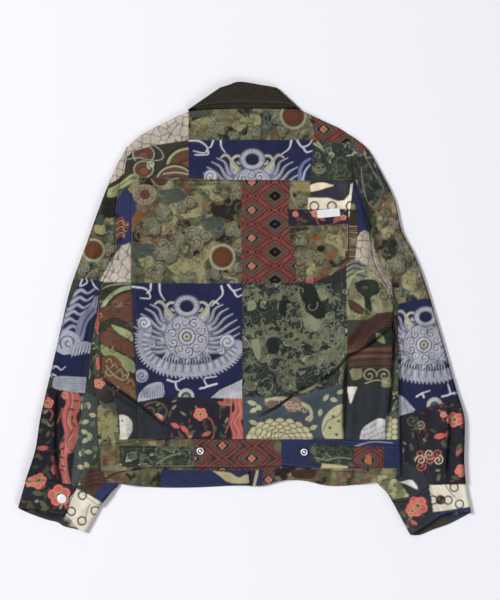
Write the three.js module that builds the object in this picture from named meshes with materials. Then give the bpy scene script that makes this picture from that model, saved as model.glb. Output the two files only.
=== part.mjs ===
// Patched cotton work jacket, laid face down on a table with its back up.
// Millimetres, +Z up, the collar towards +Y. The table is z = 0.
// Left and right are as seen from above, which is also the wearer's left and right.
import * as THREE from 'three';

// Cloth
const CLOTH = 1.6; // the patched canvas of the body and sleeves
const BAND = 2.4; // doubled canvas of the waistband, cuffs and collar
const TAG = 0.8; // woven label
const SEAM_GAP = 0.3;
const AIR = 3.4; // between the front and the back where they lie on each other
const FLAT = CLOTH + AIR + CLOTH;
const TUCKED = 5.2; // a sleeve pressed flat under the body's side
const SIDE_LIFT = 7.4; // the front's underside where it lies on a tucked sleeve
const LIFT_SHELF = 50; // width of that stretch, from the side
const LIFT_END = 90; // where the front is down on the table again
const MOUTH = 7; // how far the back's hem stands open
const LEAST_AIR = 0.8;
const CUFF_HEIGHT = 13;
const CUFF_SEAM_GAP = 1.2; // wider than at other seams, because the sleeve's and the cuff's rows bend
const FRONT_BAND_GAP = 1.1;
const ARMHOLE_GAP = 0.36;

// Front closure
const PLACKET_X = 26; // line of the front's buttons
const LEFT_FRONT_EDGE = 44;
const RIGHT_FRONT_EDGE = 7;
const BUTTON = 17;
const BUTTON_FACE = 2.5;
const PLACKET_LIFT = BUTTON_FACE + SEAM_GAP;
const TAB_BUTTON = 13;

const smooth = THREE.MathUtils.smoothstep;
const mix = THREE.MathUtils.lerp;

// A seam or edge in plan, through points chosen on it, drawn again as steps straight stretches.
class Edge {
  constructor(points, steps = 48) {
    const at = points.map(([x, y]) => new THREE.Vector3(x, y, 0));
    const curve = new THREE.CatmullRomCurve3(at, false, 'centripetal');
    this.set(steps === 0 ? at : curve.getSpacedPoints(steps));
  }
  set(points) {
    this.points = points;
    this.lengths = [0];
    for (let i = 1; i < points.length; i += 1) {
      this.lengths.push(this.lengths[i - 1] + points[i].distanceTo(points[i - 1]));
    }
    this.length = this.lengths[points.length - 1];
    return this;
  }
  // The point at share t of the length.
  at(t) {
    const want = t * this.length;
    let i = 1;
    while (i < this.points.length - 1 && this.lengths[i] < want) {
      i += 1;
    }
    const share = (want - this.lengths[i - 1]) / (this.lengths[i] - this.lengths[i - 1]);
    return this.points[i - 1].clone().lerp(this.points[i], share);
  }
  // Where the edge crosses a height y.
  xAt(y) {
    const p = this.points;
    const down = p[0].y > p[p.length - 1].y ? 1 : -1;
    let i = 1;
    while (i < p.length - 1 && (p[i].y - y) * down > 0) {
      i += 1;
    }
    const share = THREE.MathUtils.clamp((y - p[i - 1].y) / (p[i].y - p[i - 1].y), 0, 1);
    return mix(p[i - 1].x, p[i].x, share);
  }
  away(x, y) {
    const here = new THREE.Vector3(x, y, 0);
    const near = new THREE.Vector3();
    const stretch = new THREE.Line3();
    let best = Infinity;
    for (let i = 1; i < this.points.length; i += 1) {
      stretch.set(this.points[i - 1], this.points[i]);
      stretch.closestPointToPoint(here, true, near);
      best = Math.min(best, near.distanceTo(here));
    }
    return best;
  }
}

const join = (...edges) => {
  const points = edges[0].points.slice();
  for (const edge of edges.slice(1)) {
    points.push(...edge.points.slice(1));
  }
  return new Edge([[0, 0], [1, 1]]).set(points);
};
const shares = (edge) => edge.lengths.map((length) => length / edge.length);

// Seams and edges of the body, measured on the back as it lies
const ARM_STEPS = 6;
const SIDE_STEPS = 12;
const ROWS = ARM_STEPS + SIDE_STEPS;
const SHOULDER_LEFT = new Edge([[-214, 296], [-190, 316], [-154, 336], [-102, 360]], 6);
const SHOULDER_RIGHT = new Edge([[101, 364], [148, 342], [176, 329], [194, 317]], 6);
const NECK_BACK = new Edge([[-102, 360], [-71, 363], [2, 364], [75, 364], [101, 364]], 8);
const CAP_LEFT = new Edge([[-214, 296], [-224, 243]], 1);
const CAP_RIGHT = new Edge([[194, 317], [201, 234]], 1);
const ARM_LEFT = new Edge(
  [[-224, 243], [-232, 214], [-237, 184], [-237, 137], [-239, 95], [-249, 67], [-264, 40]], ARM_STEPS);
const ARM_RIGHT = new Edge(
  [[201, 234], [210, 210], [218, 184], [228, 161], [232, 137], [238, 87], [254, 53], [269, 29]], ARM_STEPS);
const SIDE_LEFT = new Edge(
  [[-264, 40], [-268, -4], [-271, -50], [-276, -123], [-272, -160], [-269, -220], [-267, -253]], SIDE_STEPS);
const SIDE_RIGHT = new Edge(
  [[269, 29], [274, 5], [272, -18], [270, -35], [278, -55], [283, -77], [284, -160], [286, -254]], SIDE_STEPS);
const BAND_END_LEFT = new Edge([[-267, -253], [-264, -297], [-257, -312]], 3);
const BAND_END_RIGHT = new Edge([[286, -254], [287, -280], [287, -305]], 3);
const SEAM_LEFT = new Edge([[-207, 237], [-207, 45], [-201, -59], [-196, -169], [-194, -243]], ROWS);
const SEAM_RIGHT = new Edge([[192, 234], [188, 106], [185, 14], [185, -77], [181, -242]], ROWS);
const PANEL_TOP = new Edge([[-207, 237], [-102, 234], [2, 233], [124, 232], [192, 234]], 20);
const PANEL_BOTTOM = new Edge([[-194, -243], [-117, -240], [-7, -242], [84, -237], [181, -242]], 20);
const SIDE_TOP_LEFT = new Edge([[-224, 243], [-207, 237]], 1);
const SIDE_TOP_RIGHT = new Edge([[192, 234], [201, 234]], 1);
const SIDE_BOTTOM_LEFT = new Edge([[-267, -253], [-194, -243]], 1);
const SIDE_BOTTOM_RIGHT = new Edge([[181, -242], [286, -254]], 1);
const HEM_BACK = new Edge(
  [[-257, -312], [-236, -301], [-199, -293], [-145, -290], [-7, -291], [75, -288], [139, -295], [212, -299],
    [287, -305]], 24);
const FRONT_BAND_TOP = new Edge(
  [[-263, -264], [-227, -272], [-172, -279], [-99, -280], [-7, -277], [75, -270], [157, -277], [212, -274],
    [285, -258]], 24);
const HEM_FRONT = new Edge(
  [[-256, -314], [-227, -321], [-172, -328], [-99, -329], [-7, -325], [33, -325], [75, -315], [112, -317],
    [157, -326], [212, -323], [249, -316], [286, -308]], 24);
const NECK_FRONT = new Edge([[-102, 360], [-80, 335], [-30, 312], [26, 306], [70, 318], [101, 364]], 16);

// The sleeves' outer folds, and their inner folds, which run in under the body's sides
const SLEEVE_OUT_LEFT = new Edge(
  [[-214, 296], [-236, 256], [-260, 197], [-291, 111], [-318, 36], [-337, -44], [-353, -114], [-373, -202],
    [-382, -260], [-401, -319]]);
const SLEEVE_IN_LEFT = new Edge(
  [[-264, 40], [-269, -4], [-266, -50], [-257, -123], [-247, -200], [-238, -260], [-228, -321], [-242, -337],
    [-264, -364]]);
const SLEEVE_OUT_RIGHT = new Edge(
  [[194, 317], [225, 292], [249, 252], [276, 197], [289, 142], [313, 95], [333, 42], [361, -50], [388, -147],
    [403, -198], [404, -242], [403, -279], [406, -323]]);
const SLEEVE_IN_RIGHT = new Edge(
  [[269, 29], [276, 6], [274, -18], [270, -50], [268, -90], [262, -150], [254, -210], [247, -260], [242, -316],
    [262, -339], [273, -357]]);
const CUFF_TOP_LEFT = new Edge(
  [[-401, -319], [-364, -316], [-339, -321], [-309, -330], [-287, -346], [-264, -364]], 10);
const CUFF_TOP_RIGHT = new Edge(
  [[406, -323], [368, -321], [339, -326], [318, -344], [296, -355], [273, -357]], 10);
const CUFF_END_LEFT = new Edge(
  [[-414, -366], [-375, -368], [-346, -376], [-322, -381], [-302, -404], [-290, -411]], 16);
const CUFF_END_RIGHT = new Edge([[416, -374], [387, -372], [364, -377], [340, -392], [304, -415]], 16);
const CUFF_FAR_LEFT = new Edge(
  [[-414, -367], [-400, -374], [-362, -388], [-342, -393], [-331, -400], [-302, -407], [-290, -412]], 16);
const CUFF_FAR_RIGHT = new Edge([[416, -375], [375, -396], [344, -407], [322, -416], [304, -416]], 16);

// The sleeves' two lengthwise seams as shares of the way across, from the outer fold to the inner
// one, by row: the back seam on top and the forearm seam on the underside
const BACK_SEAM_LEFT = [
  [5, 1], [6, 0.955], [7, 0.93], [9, 0.79], [11, 0.67], [13, 0.58], [15, 0.53], [16, 0.54], [18, 0.63]];
const BACK_SEAM_RIGHT = [
  [5, 1], [6, 0.955], [7, 0.92], [9, 0.80], [11, 0.76], [13, 0.68], [15, 0.54], [16, 0.49], [18, 0.47]];
const FOREARM_SEAM = [[5, 1], [6, 0.955], [7, 0.90], [8, 0.84], [9, 0.78], [18, 0.78]];

// Folds in the cloth: a line in plan, its height and its half width
const FOLDS = [
  [[[205, 0], [180, -52], [150, -90], [110, -126], [62, -152], [20, -178]], 3.5, 17],
  [[[227, -13], [198, -59], [167, -99], [124, -136], [75, -165], [33, -191]], -2.4, 7],
  [[[212, -75], [207, -150], [205, -235]], 2.0, 14],
  [[[188, -77], [185, -132], [181, -236]], -2.0, 6],
  [[[260, -60], [259, -150], [250, -215]], 2.4, 9],
  [[[271, -68], [271, -151], [262, -200], [255, -242]], -1.6, 6],
  [[[-240, -125], [-205, -150], [-160, -184], [-118, -205]], 3.0, 14],
  [[[-256, -145], [-222, -168], [-180, -192], [-135, -222]], -2.0, 6],
  [[[-250, 10], [-250, -70]], 1.6, 7],
  [[[197, 258], [210, 210], [228, 161], [238, 87], [262, 40]], -2.6, 8],
  [[[186, 225], [200, 180], [212, 130], [218, 85], [240, 42]], 3.6, 11],
  [[[226, 235], [246, 180], [258, 130], [264, 85], [288, 40]], 3.4, 12],
  [[[-216, 280], [-228, 225], [-237, 160], [-240, 95]], -1.2, 7],
  [[[-252, 200], [-268, 140], [-276, 90], [-300, 0]], 2.0, 16],
  [[[-337, -160], [-340, -224], [-342, -316]], -2.4, 7],
  [[[-322, -150], [-322, -230], [-324, -310]], 2.2, 10],
  [[[381, -195], [377, -251], [373, -310]], -2.8, 7],
  [[[391, -200], [392, -300]], 1.6, 8],
  [[[360, -190], [356, -250], [352, -310]], 2.0, 11],
  [[[300, 60], [318, -20], [322, -100], [330, -170]], 2.2, 16],
  [[[-120, 180], [-60, 120], [-20, 60]], 1.4, 24],
  [[[60, 190], [90, 120], [120, 60]], 1.4, 24],
].map(([points, height, width]) => ({ line: new Edge(points, 10), height, width }));

const relief = (x, y) => FOLDS.reduce(
  (sum, fold) => sum + fold.height * Math.exp(-((fold.line.away(x, y) / fold.width) ** 2)), 0);

const YOKE_SEAM = join(SIDE_TOP_LEFT, PANEL_TOP, SIDE_TOP_RIGHT);
const BAND_TOP = join(SIDE_BOTTOM_LEFT, PANEL_BOTTOM, SIDE_BOTTOM_RIGHT);

// How far in from the nearer side edge of the body a point lies.
const LEFT_OUTLINE = join(CAP_LEFT, ARM_LEFT, SIDE_LEFT, BAND_END_LEFT);
const RIGHT_OUTLINE = join(CAP_RIGHT, ARM_RIGHT, SIDE_RIGHT, BAND_END_RIGHT);
const fromLeft = (x, y) => x - LEFT_OUTLINE.xAt(y);
const fromRight = (x, y) => RIGHT_OUTLINE.xAt(y) - x;

// The front's underside: it lies on the tucked sleeves, the collar's fall and its own buttons.
const UNDERARM_LEFT = 40;
const UNDERARM_RIGHT = 29;
const shelf = (inward, y, underarm) => SIDE_LIFT * (1 - smooth(inward, LIFT_SHELF, LIFT_END))
  * (1 - smooth(y, underarm - 34, underarm - 2));
const sideLift = (x, y) => Math.max(
  shelf(fromLeft(x, y), y, UNDERARM_LEFT), shelf(fromRight(x, y), y, UNDERARM_RIGHT));
const COLLAR_LIFT = BAND + SEAM_GAP;
const collarLift = (x, y) => COLLAR_LIFT * smooth(y, 225, 262) * (1 - smooth(Math.abs(x), 125, 165));
const under = (x, y) => Math.max(
  sideLift(x, y),
  collarLift(x, y),
  PLACKET_LIFT * (1 - smooth(Math.abs(x - PLACKET_X), 30, 60)));

// The back's upper face. Its hem stands open, most in the middle.
const HEM_SPAN = [-262, 284];
const rest = (x, y) => {
  const overPlacket = PLACKET_LIFT * (1 - smooth(Math.abs(x - PLACKET_X), 30, 90));
  const across = THREE.MathUtils.clamp(THREE.MathUtils.inverseLerp(...HEM_SPAN, x), 0, 1);
  const open = MOUTH * (1 - smooth(y, -290, -200)) * Math.sin(Math.PI * across) ** 0.6;
  return Math.max(sideLift(x, y), collarLift(x, y)) + FLAT + Math.max(overPlacket, open);
};
const backTop = (x, y) => Math.max(rest(x, y) + relief(x, y), under(x, y) + CLOTH + LEAST_AIR + CLOTH);

// Cloth from a grid of points on its outer face, row by row, with its wall behind them.
// A point of a tube has the way its row runs as point.way, and its wall stays in line with the row.
function cloth(name, rows, wall, colour) {
  const across = rows[0].length;
  const down = rows.length;
  const index = (i, j) => i * across + j;
  const outer = rows.flat();
  const normals = outer.map(() => new THREE.Vector3());
  const triangle = new THREE.Triangle();
  const normal = new THREE.Vector3();
  const faces = [];
  for (let i = 1; i < down; i += 1) {
    for (let j = 1; j < across; j += 1) {
      const [a, b, c, d] = [index(i - 1, j - 1), index(i, j - 1), index(i, j), index(i - 1, j)];
      faces.push([a, b, c], [a, c, d]);
    }
  }
  for (const [a, b, c] of faces) {
    triangle.set(outer[a], outer[b], outer[c]);
    triangle.getNormal(normal);
    for (const corner of [a, b, c]) {
      normals[corner].add(normal);
    }
  }
  const atRim = (i) => i < across || i >= across * (down - 1) || i % across === 0
    || i % across === across - 1;
  const inner = outer.map((point, i) => {
    normals[i].normalize();
    const [column, { way }] = [i % across, point];
    if (way && column > 0 && column < across - 1) {
      const level = normals[i].dot(way);
      normals[i].set(way.x * level, way.y * level, normals[i].z).normalize();
    } else if (atRim(i)) {
      // The cut edge stands upright at a seam, and lies level where the cloth has folded over.
      if (Math.abs(normals[i].z) > 0.6) {
        normals[i].set(0, 0, 1 / normals[i].z);
      } else {
        normals[i].setZ(0).normalize();
      }
    }
    return point.clone().addScaledVector(normals[i], -wall);
  });
  const n = outer.length;
  const indices = [];
  for (const [a, b, c] of faces) {
    indices.push(a, b, c, n + a, n + c, n + b);
  }
  const rim = [];
  for (let i = 0; i < down; i += 1) {
    rim.push(index(i, 0));
  }
  for (let j = 1; j < across; j += 1) {
    rim.push(index(down - 1, j));
  }
  for (let i = down - 2; i >= 0; i -= 1) {
    rim.push(index(i, across - 1));
  }
  for (let j = across - 2; j > 0; j -= 1) {
    rim.push(index(0, j));
  }
  rim.forEach((a, k) => {
    const b = rim[(k + 1) % rim.length];
    indices.push(b, a, n + a, b, n + a, n + b);
  });
  return solid(name, [...outer, ...inner], indices, colour);
}

function solid(name, points, indices, colour) {
  const geometry = new THREE.BufferGeometry().setFromPoints(points);
  geometry.setIndex(indices);
  geometry.computeVertexNormals();
  return named(name, geometry, { color: colour, roughness: 0.9, metalness: 0 });
}

function named(name, geometry, finish) {
  const mesh = new THREE.Mesh(geometry, new THREE.MeshStandardMaterial(finish));
  mesh.name = name;
  return mesh;
}

// Rows of plan points between a left and a right edge, bent to follow a top and a bottom edge.
function patch(left, right, top, bottom, columns) {
  const last = left.length - 1;
  return left.map((start, i) => {
    const v = i / last;
    return columns(start.distanceTo(right[i]), v).map((u) => {
      const point = start.clone().lerp(right[i], u);
      const fromTop = top.at(u).sub(top.at(0).lerp(top.at(1), u));
      const fromBottom = bottom.at(u).sub(bottom.at(0).lerp(bottom.at(1), u));
      return point.addScaledVector(fromTop, 1 - v).addScaledVector(fromBottom, v);
    });
  });
}

// Moves the border of a grid inward, for the gap at a seam. trims are top, right, bottom and left.
function trim(rows, [top, right, bottom, left]) {
  const last = rows.length - 1;
  const end = rows[0].length - 1;
  const pull = (point, towards, by) => {
    point.addScaledVector(towards.clone().sub(point).normalize(), by);
  };
  for (const row of rows) {
    pull(row[0], row[1], left);
    pull(row[end], row[end - 1], right);
  }
  for (let j = 0; j <= end; j += 1) {
    pull(rows[0][j], rows[1][j], top);
    pull(rows[last][j], rows[last - 1][j], bottom);
  }
  return rows;
}

const raise = (rows, height) => rows.map((row) => row.map((p) => p.clone().setZ(height(p.x, p.y))));
const even = (n) => Array.from({ length: n + 1 }, (_, i) => i / n);

// Where the back folds over at a side or a shoulder: it rolls down to the level of what it rests on.
const ROLL = 4;
const ROLL_COLUMNS = [0, 1.2, ROLL];
const rolled = (top, foot, inward) => {
  const share = THREE.MathUtils.clamp(1 - inward / ROLL, 0, 1);
  return foot + (top - foot) * Math.sqrt(1 - share * share);
};

const HALF = SEAM_GAP / 2;
const group = new THREE.Group();
const add = (mesh) => group.add(mesh);

// Back panel between the two long seams
const backRows = raise(
  trim(patch(SEAM_LEFT.points, SEAM_RIGHT.points, PANEL_TOP, PANEL_BOTTOM, () => even(20)),
    [HALF, HALF, HALF, HALF]), backTop);
add(cloth('back_panel', backRows, CLOTH, '#4d4c3a'));

// Side panels of the back: along the armhole they meet the sleeve, below it they fold over
function sideBack(name, seam, arm, side, wasLeft) {
  const outer = join(arm, side).points;
  const columns = (width) => {
    const roll = ROLL_COLUMNS.map((d) => Math.min(d / width, d * 0.1));
    const beyond = [0.25, 0.5, 0.75, 1].map((share) => mix(roll[2], 1, share));
    const inwards = [...roll, ...beyond];
    return wasLeft ? inwards : inwards.map((share) => 1 - share).reverse();
  };
  const plan = wasLeft
    ? patch(outer, seam.points, SIDE_TOP_LEFT, SIDE_BOTTOM_LEFT, columns)
    : patch(seam.points, outer, SIDE_TOP_RIGHT, SIDE_BOTTOM_RIGHT, columns);
  trim(plan, [HALF, wasLeft ? HALF : 0, HALF, wasLeft ? 0 : HALF]);
  const rows = plan.map((row, i) => row.map((p) => {
    const inward = p.distanceTo(outer[i]);
    const top = backTop(p.x, p.y);
    const folded = smooth(i, ARM_STEPS - 1.01, ARM_STEPS + 1.5);
    return p.clone().setZ(mix(top, rolled(top, under(p.x, p.y), inward), folded));
  }));
  return cloth(name, rows, CLOTH, '#5b4c3d');
}
add(sideBack('side_back_left', SEAM_LEFT, ARM_LEFT, SIDE_LEFT, true));
add(sideBack('side_back_right', SEAM_RIGHT, ARM_RIGHT, SIDE_RIGHT, false));

// Yoke: its shoulders fold over to the front, its neck edge is held in the collar
{
  const top = join(SHOULDER_LEFT, NECK_BACK, SHOULDER_RIGHT);
  const ROWS_DOWN = 7;
  const rows = shares(YOKE_SEAM).map((u) => {
    const from = top.at(u);
    const to = YOKE_SEAM.at(u);
    const height = from.distanceTo(to);
    const steps = [...ROLL_COLUMNS.map((d) => d / height), ...even(ROWS_DOWN - 2).slice(1)];
    const neck = smooth(from.x, -104, -92) * (1 - smooth(from.x, 92, 104));
    return steps.map((v) => {
      const p = from.clone().lerp(to, v);
      const flat = backTop(p.x, p.y);
      const roll = rolled(flat, under(p.x, p.y), v * height);
      return p.setZ(mix(roll, flat, neck));
    });
  });
  const grid = even(ROWS_DOWN).map((_, i) => rows.map((column) => column[i]));
  add(cloth('yoke_back', trim(grid, [0, 0, HALF, 0]), CLOTH, '#57523f'));
}

const LAP_SHELF = 50; // the right front's stretch over the left front
const LAP_END = 86;
const LAP_ROOM = 16; // it comes down only beyond the left front's edge
const lapped = (x) => 1 - smooth(x - RIGHT_FRONT_EDGE, LAP_SHELF + LAP_ROOM, LAP_END + LAP_ROOM);

// Fronts: the left one lies under, the right one laps over it at the placket
const FRONT_INSET = CLOTH + 1; // its edge lies inside the back's roll
const FRONT_DROP = FRONT_INSET + 1; // and its top edge below the shoulders'
const NECK_FOOT = 307; // where the placket meets the neck
const CLEAR = 8; // the nearest point of an edge to the placket's own
function front(name, isLeft) {
  const arm = isLeft ? [CAP_LEFT, ARM_LEFT, SIDE_LEFT] : [CAP_RIGHT, ARM_RIGHT, SIDE_RIGHT];
  const side = join(...arm).points.map((p) => p.clone());
  const inward = isLeft ? 1 : -1;
  side.forEach((p, i) => {
    const folded = i > ARM_STEPS + 1 ? 1 : 0;
    p.x += inward * mix(HALF, FRONT_INSET, folded);
  });
  side[0].y -= FRONT_DROP;
  const corner = FRONT_BAND_TOP.at(isLeft ? 0 : 1);
  side[side.length - 1].set(corner.x + inward * FRONT_INSET, corner.y + HALF, 0);
  const edgeX = isLeft ? LEFT_FRONT_EDGE : RIGHT_FRONT_EDGE;
  const neck = NECK_FRONT.points.filter((p) => (isLeft ? p.x < edgeX - CLEAR : p.x > edgeX + CLEAR));
  const neckEnd = new THREE.Vector3(edgeX, NECK_FOOT, 0);
  const lowered = (points) => points.map((p) => new THREE.Vector3(p.x, p.y - FRONT_DROP, 0));
  const topPoints = isLeft
    ? [...lowered(SHOULDER_LEFT.points), ...lowered(neck).slice(1), lowered([neckEnd])[0]]
    : [lowered([neckEnd])[0], ...lowered(neck).slice(0, -1), ...lowered(SHOULDER_RIGHT.points)];
  const top = new Edge([[0, 0], [1, 1]]).set(topPoints);
  side[0].copy(isLeft ? top.at(0) : top.at(1));
  const bandY = FRONT_BAND_TOP.points.reduce(
    (best, p) => (Math.abs(p.x - edgeX) < Math.abs(best.x - edgeX) ? p : best)).y;
  const middle = even(side.length - 1).map((v) => new THREE.Vector3(
    edgeX, mix(NECK_FOOT - FRONT_DROP, bandY + HALF, v), 0));
  const bottomPoints = FRONT_BAND_TOP.points
    .filter((p) => (isLeft ? p.x > side.at(-1).x + CLEAR / 2 && p.x < edgeX - CLEAR
      : p.x < side.at(-1).x - CLEAR / 2 && p.x > edgeX + CLEAR))
    .map((p) => new THREE.Vector3(p.x, p.y + HALF, 0));
  const bottom = new Edge([[0, 0], [1, 1]]).set(isLeft
    ? [side.at(-1), ...bottomPoints, middle.at(-1)]
    : [middle.at(-1), ...bottomPoints, side.at(-1)]);
  const overlap = isLeft ? 0 : CLOTH + SEAM_GAP;
  const near = isLeft ? [0, 40, 64] : [0, LAP_SHELF, LAP_END]; // the placket and the ramp beside it
  const columns = (straight, v) => {
    const width = mix(top.length, straight, v);
    const fromSide = [0, 25, LIFT_SHELF, 70, LIFT_END].map((d) => d / width);
    const fromEdge = near.map((d) => 1 - d / width).reverse();
    const across = [...fromSide, (fromSide[4] + fromEdge[0]) / 2, ...fromEdge];
    return isLeft ? across : across.map((u) => 1 - u).reverse();
  };
  const plan = isLeft ? patch(side, middle, top, bottom, columns) : patch(middle, side, top, bottom, columns);
  const rows = raise(plan, (x, y) => {
    const lap = (overlap + PLACKET_LIFT) * lapped(x);
    return (isLeft ? under(x, y) : Math.max(sideLift(x, y), collarLift(x, y), lap)) + CLOTH;
  });
  return cloth(name, rows, CLOTH, isLeft ? '#4a4636' : '#474537');
}
add(front('front_left', true));
add(front('front_right', false));

// Waistband of the back: doubled cloth a little proud of the panels, its ends folded over at the sides
const BAND_PROUD = 0.4;
const bandTop = (x, y) => backTop(x, y) + BAND_PROUD;
const waistbandRows = (() => {
  const plan = even(3).map((v) => {
    const left = BAND_END_LEFT.at(v);
    const right = BAND_END_RIGHT.at(v);
    const roll = ROLL_COLUMNS.map((d) => d / left.distanceTo(right));
    const inside = shares(BAND_TOP).filter((u) => u > roll[2] * 1.5 && u < 1 - roll[2] * 1.5);
    const across = [...roll, ...inside, ...roll.map((u) => 1 - u).reverse()];
    return across.map((u) => {
      const point = left.clone().lerp(right, u);
      const fromTop = BAND_TOP.at(u).sub(BAND_TOP.at(0).lerp(BAND_TOP.at(1), u));
      const fromBottom = HEM_BACK.at(u).sub(HEM_BACK.at(0).lerp(HEM_BACK.at(1), u));
      return point.addScaledVector(fromTop, 1 - v).addScaledVector(fromBottom, v);
    });
  });
  trim(plan, [HALF, 0, 0, 0]);
  return plan.map((row) => row.map((p) => {
    const inward = Math.min(p.distanceTo(row[0]), p.distanceTo(row.at(-1)));
    return p.clone().setZ(rolled(bandTop(p.x, p.y), under(p.x, p.y) + 0.2, inward));
  }));
})();
add(cloth('waistband_back', waistbandRows, BAND, '#3a3548'));

// Waistband of the fronts, lapped at the placket like them
function frontBand(name, isLeft) {
  const edgeX = isLeft ? LEFT_FRONT_EDGE : RIGHT_FRONT_EDGE;
  const cross = (edge) => {
    const share = shares(edge);
    let best = 0;
    share.forEach((t) => {
      best = Math.abs(edge.at(t).x - edgeX) < Math.abs(edge.at(best).x - edgeX) ? t : best;
    });
    return best;
  };
  const [topEnd, bottomEnd] = [cross(FRONT_BAND_TOP), cross(HEM_FRONT)];
  const distances = isLeft
    ? [0, 25, LIFT_SHELF, 70, LIFT_END, 160, 224, 262]
    : [0, LAP_SHELF, LAP_END, 130, 190, 215, 230, 260];
  const along = (edge, end) => (d, reach) => {
    const t = isLeft ? (d / reach) * end : end + (d / reach) * (1 - end);
    return edge.at(t);
  };
  const reach = distances.at(-1);
  const [topAt, bottomAt] = [along(FRONT_BAND_TOP, topEnd), along(HEM_FRONT, bottomEnd)];
  const plan = even(2).map((v) => distances.map((d) => topAt(d, reach).lerp(bottomAt(d, reach), v)));
  for (const row of plan) {
    row[isLeft ? row.length - 1 : 0].x = edgeX;
    const side = row[isLeft ? 0 : row.length - 1];
    side.x += isLeft ? BAND + 1 : -BAND - 1;
  }
  trim(plan, [FRONT_BAND_GAP, 0, 0, 0]);
  const overlap = isLeft ? 0 : BAND + SEAM_GAP;
  return cloth(name, raise(plan, (x, y) => {
    const lap = (overlap + PLACKET_LIFT) * lapped(x);
    return (isLeft ? under(x, y) : Math.max(sideLift(x, y), lap)) + BAND;
  }), BAND, isLeft ? '#2c3260' : '#5d5a3c');
}
add(frontBand('waistband_front_left', true));
add(frontBand('waistband_front_right', false));

// Rows across a flattened tube, from its left fold at 0 to its right fold at 1, as stations on the
// lower layer, round a fold and on the upper layer. A fold turns over in five steps.
const TURN = [-90, -45, 0, 45, 90].map((degrees) => THREE.MathUtils.degToRad(degrees));
const spaced = (from, to, n) => even(n).map((t) => mix(from, to, t));
const onTop = (from, to, n) => spaced(from, to, n).map((share) => ({ layer: 'top', share }));
const onBottom = (from, to, n) => spaced(from, to, n).map((share) => ({ layer: 'bottom', share }));
const leftFold = TURN.map((angle) => ({ layer: 'fold', fold: 0, angle }));
const rightFold = TURN.slice().reverse().map((angle) => ({ layer: 'fold', fold: 1, angle }));

// A ring of a flattened tube: over and beneath give the plan of its two layers by share, height its
// upper face, and floor its lower one.
const FOLD_ROOM = 1.2; // how much further in than a fold's radius its layers are flat
const NEAR_FOLD = 6;
class Ring {
  constructor(over, beneath, height, floor = 0) {
    Object.assign(this, { over, beneath, height, floor });
    this.width = over(0).distanceTo(over(1));
  }
  tall(fold) {
    const near = this.over(Math.abs(fold - NEAR_FOLD / this.width));
    return this.height(near.x, near.y, fold) - this.floor;
  }
  // How far in from a fold the two layers are flat, as a share.
  bend(fold) {
    return (this.tall(fold) / 2 + FOLD_ROOM) / this.width;
  }
  point({ layer, share, fold, angle }) {
    const radius = this.tall(fold ?? 0) / 2;
    const inward = (radius * (1 - Math.cos(angle))) / this.width;
    const at = layer === 'fold' ? Math.abs(fold - inward) : share;
    const plan = layer === 'bottom' || angle < 0 ? this.beneath : this.over;
    const p = plan(at);
    if (layer === 'fold') {
      p.z = this.floor + radius * (1 + Math.sin(angle));
    } else {
      p.z = layer === 'top' ? this.height(p.x, p.y, share) : this.floor;
    }
    p.way = plan(Math.min(at + 0.03, 1)).sub(plan(Math.max(at - 0.03, 0))).normalize();
    return p;
  }
}

const fromTable = (table, row) => {
  let i = 1;
  while (i < table.length - 1 && table[i][0] < row) {
    i += 1;
  }
  const share = THREE.MathUtils.clamp((row - table[i - 1][0]) / (table[i][0] - table[i - 1][0]), 0, 1);
  return mix(table[i - 1][1], table[i][1], share);
};

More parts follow.
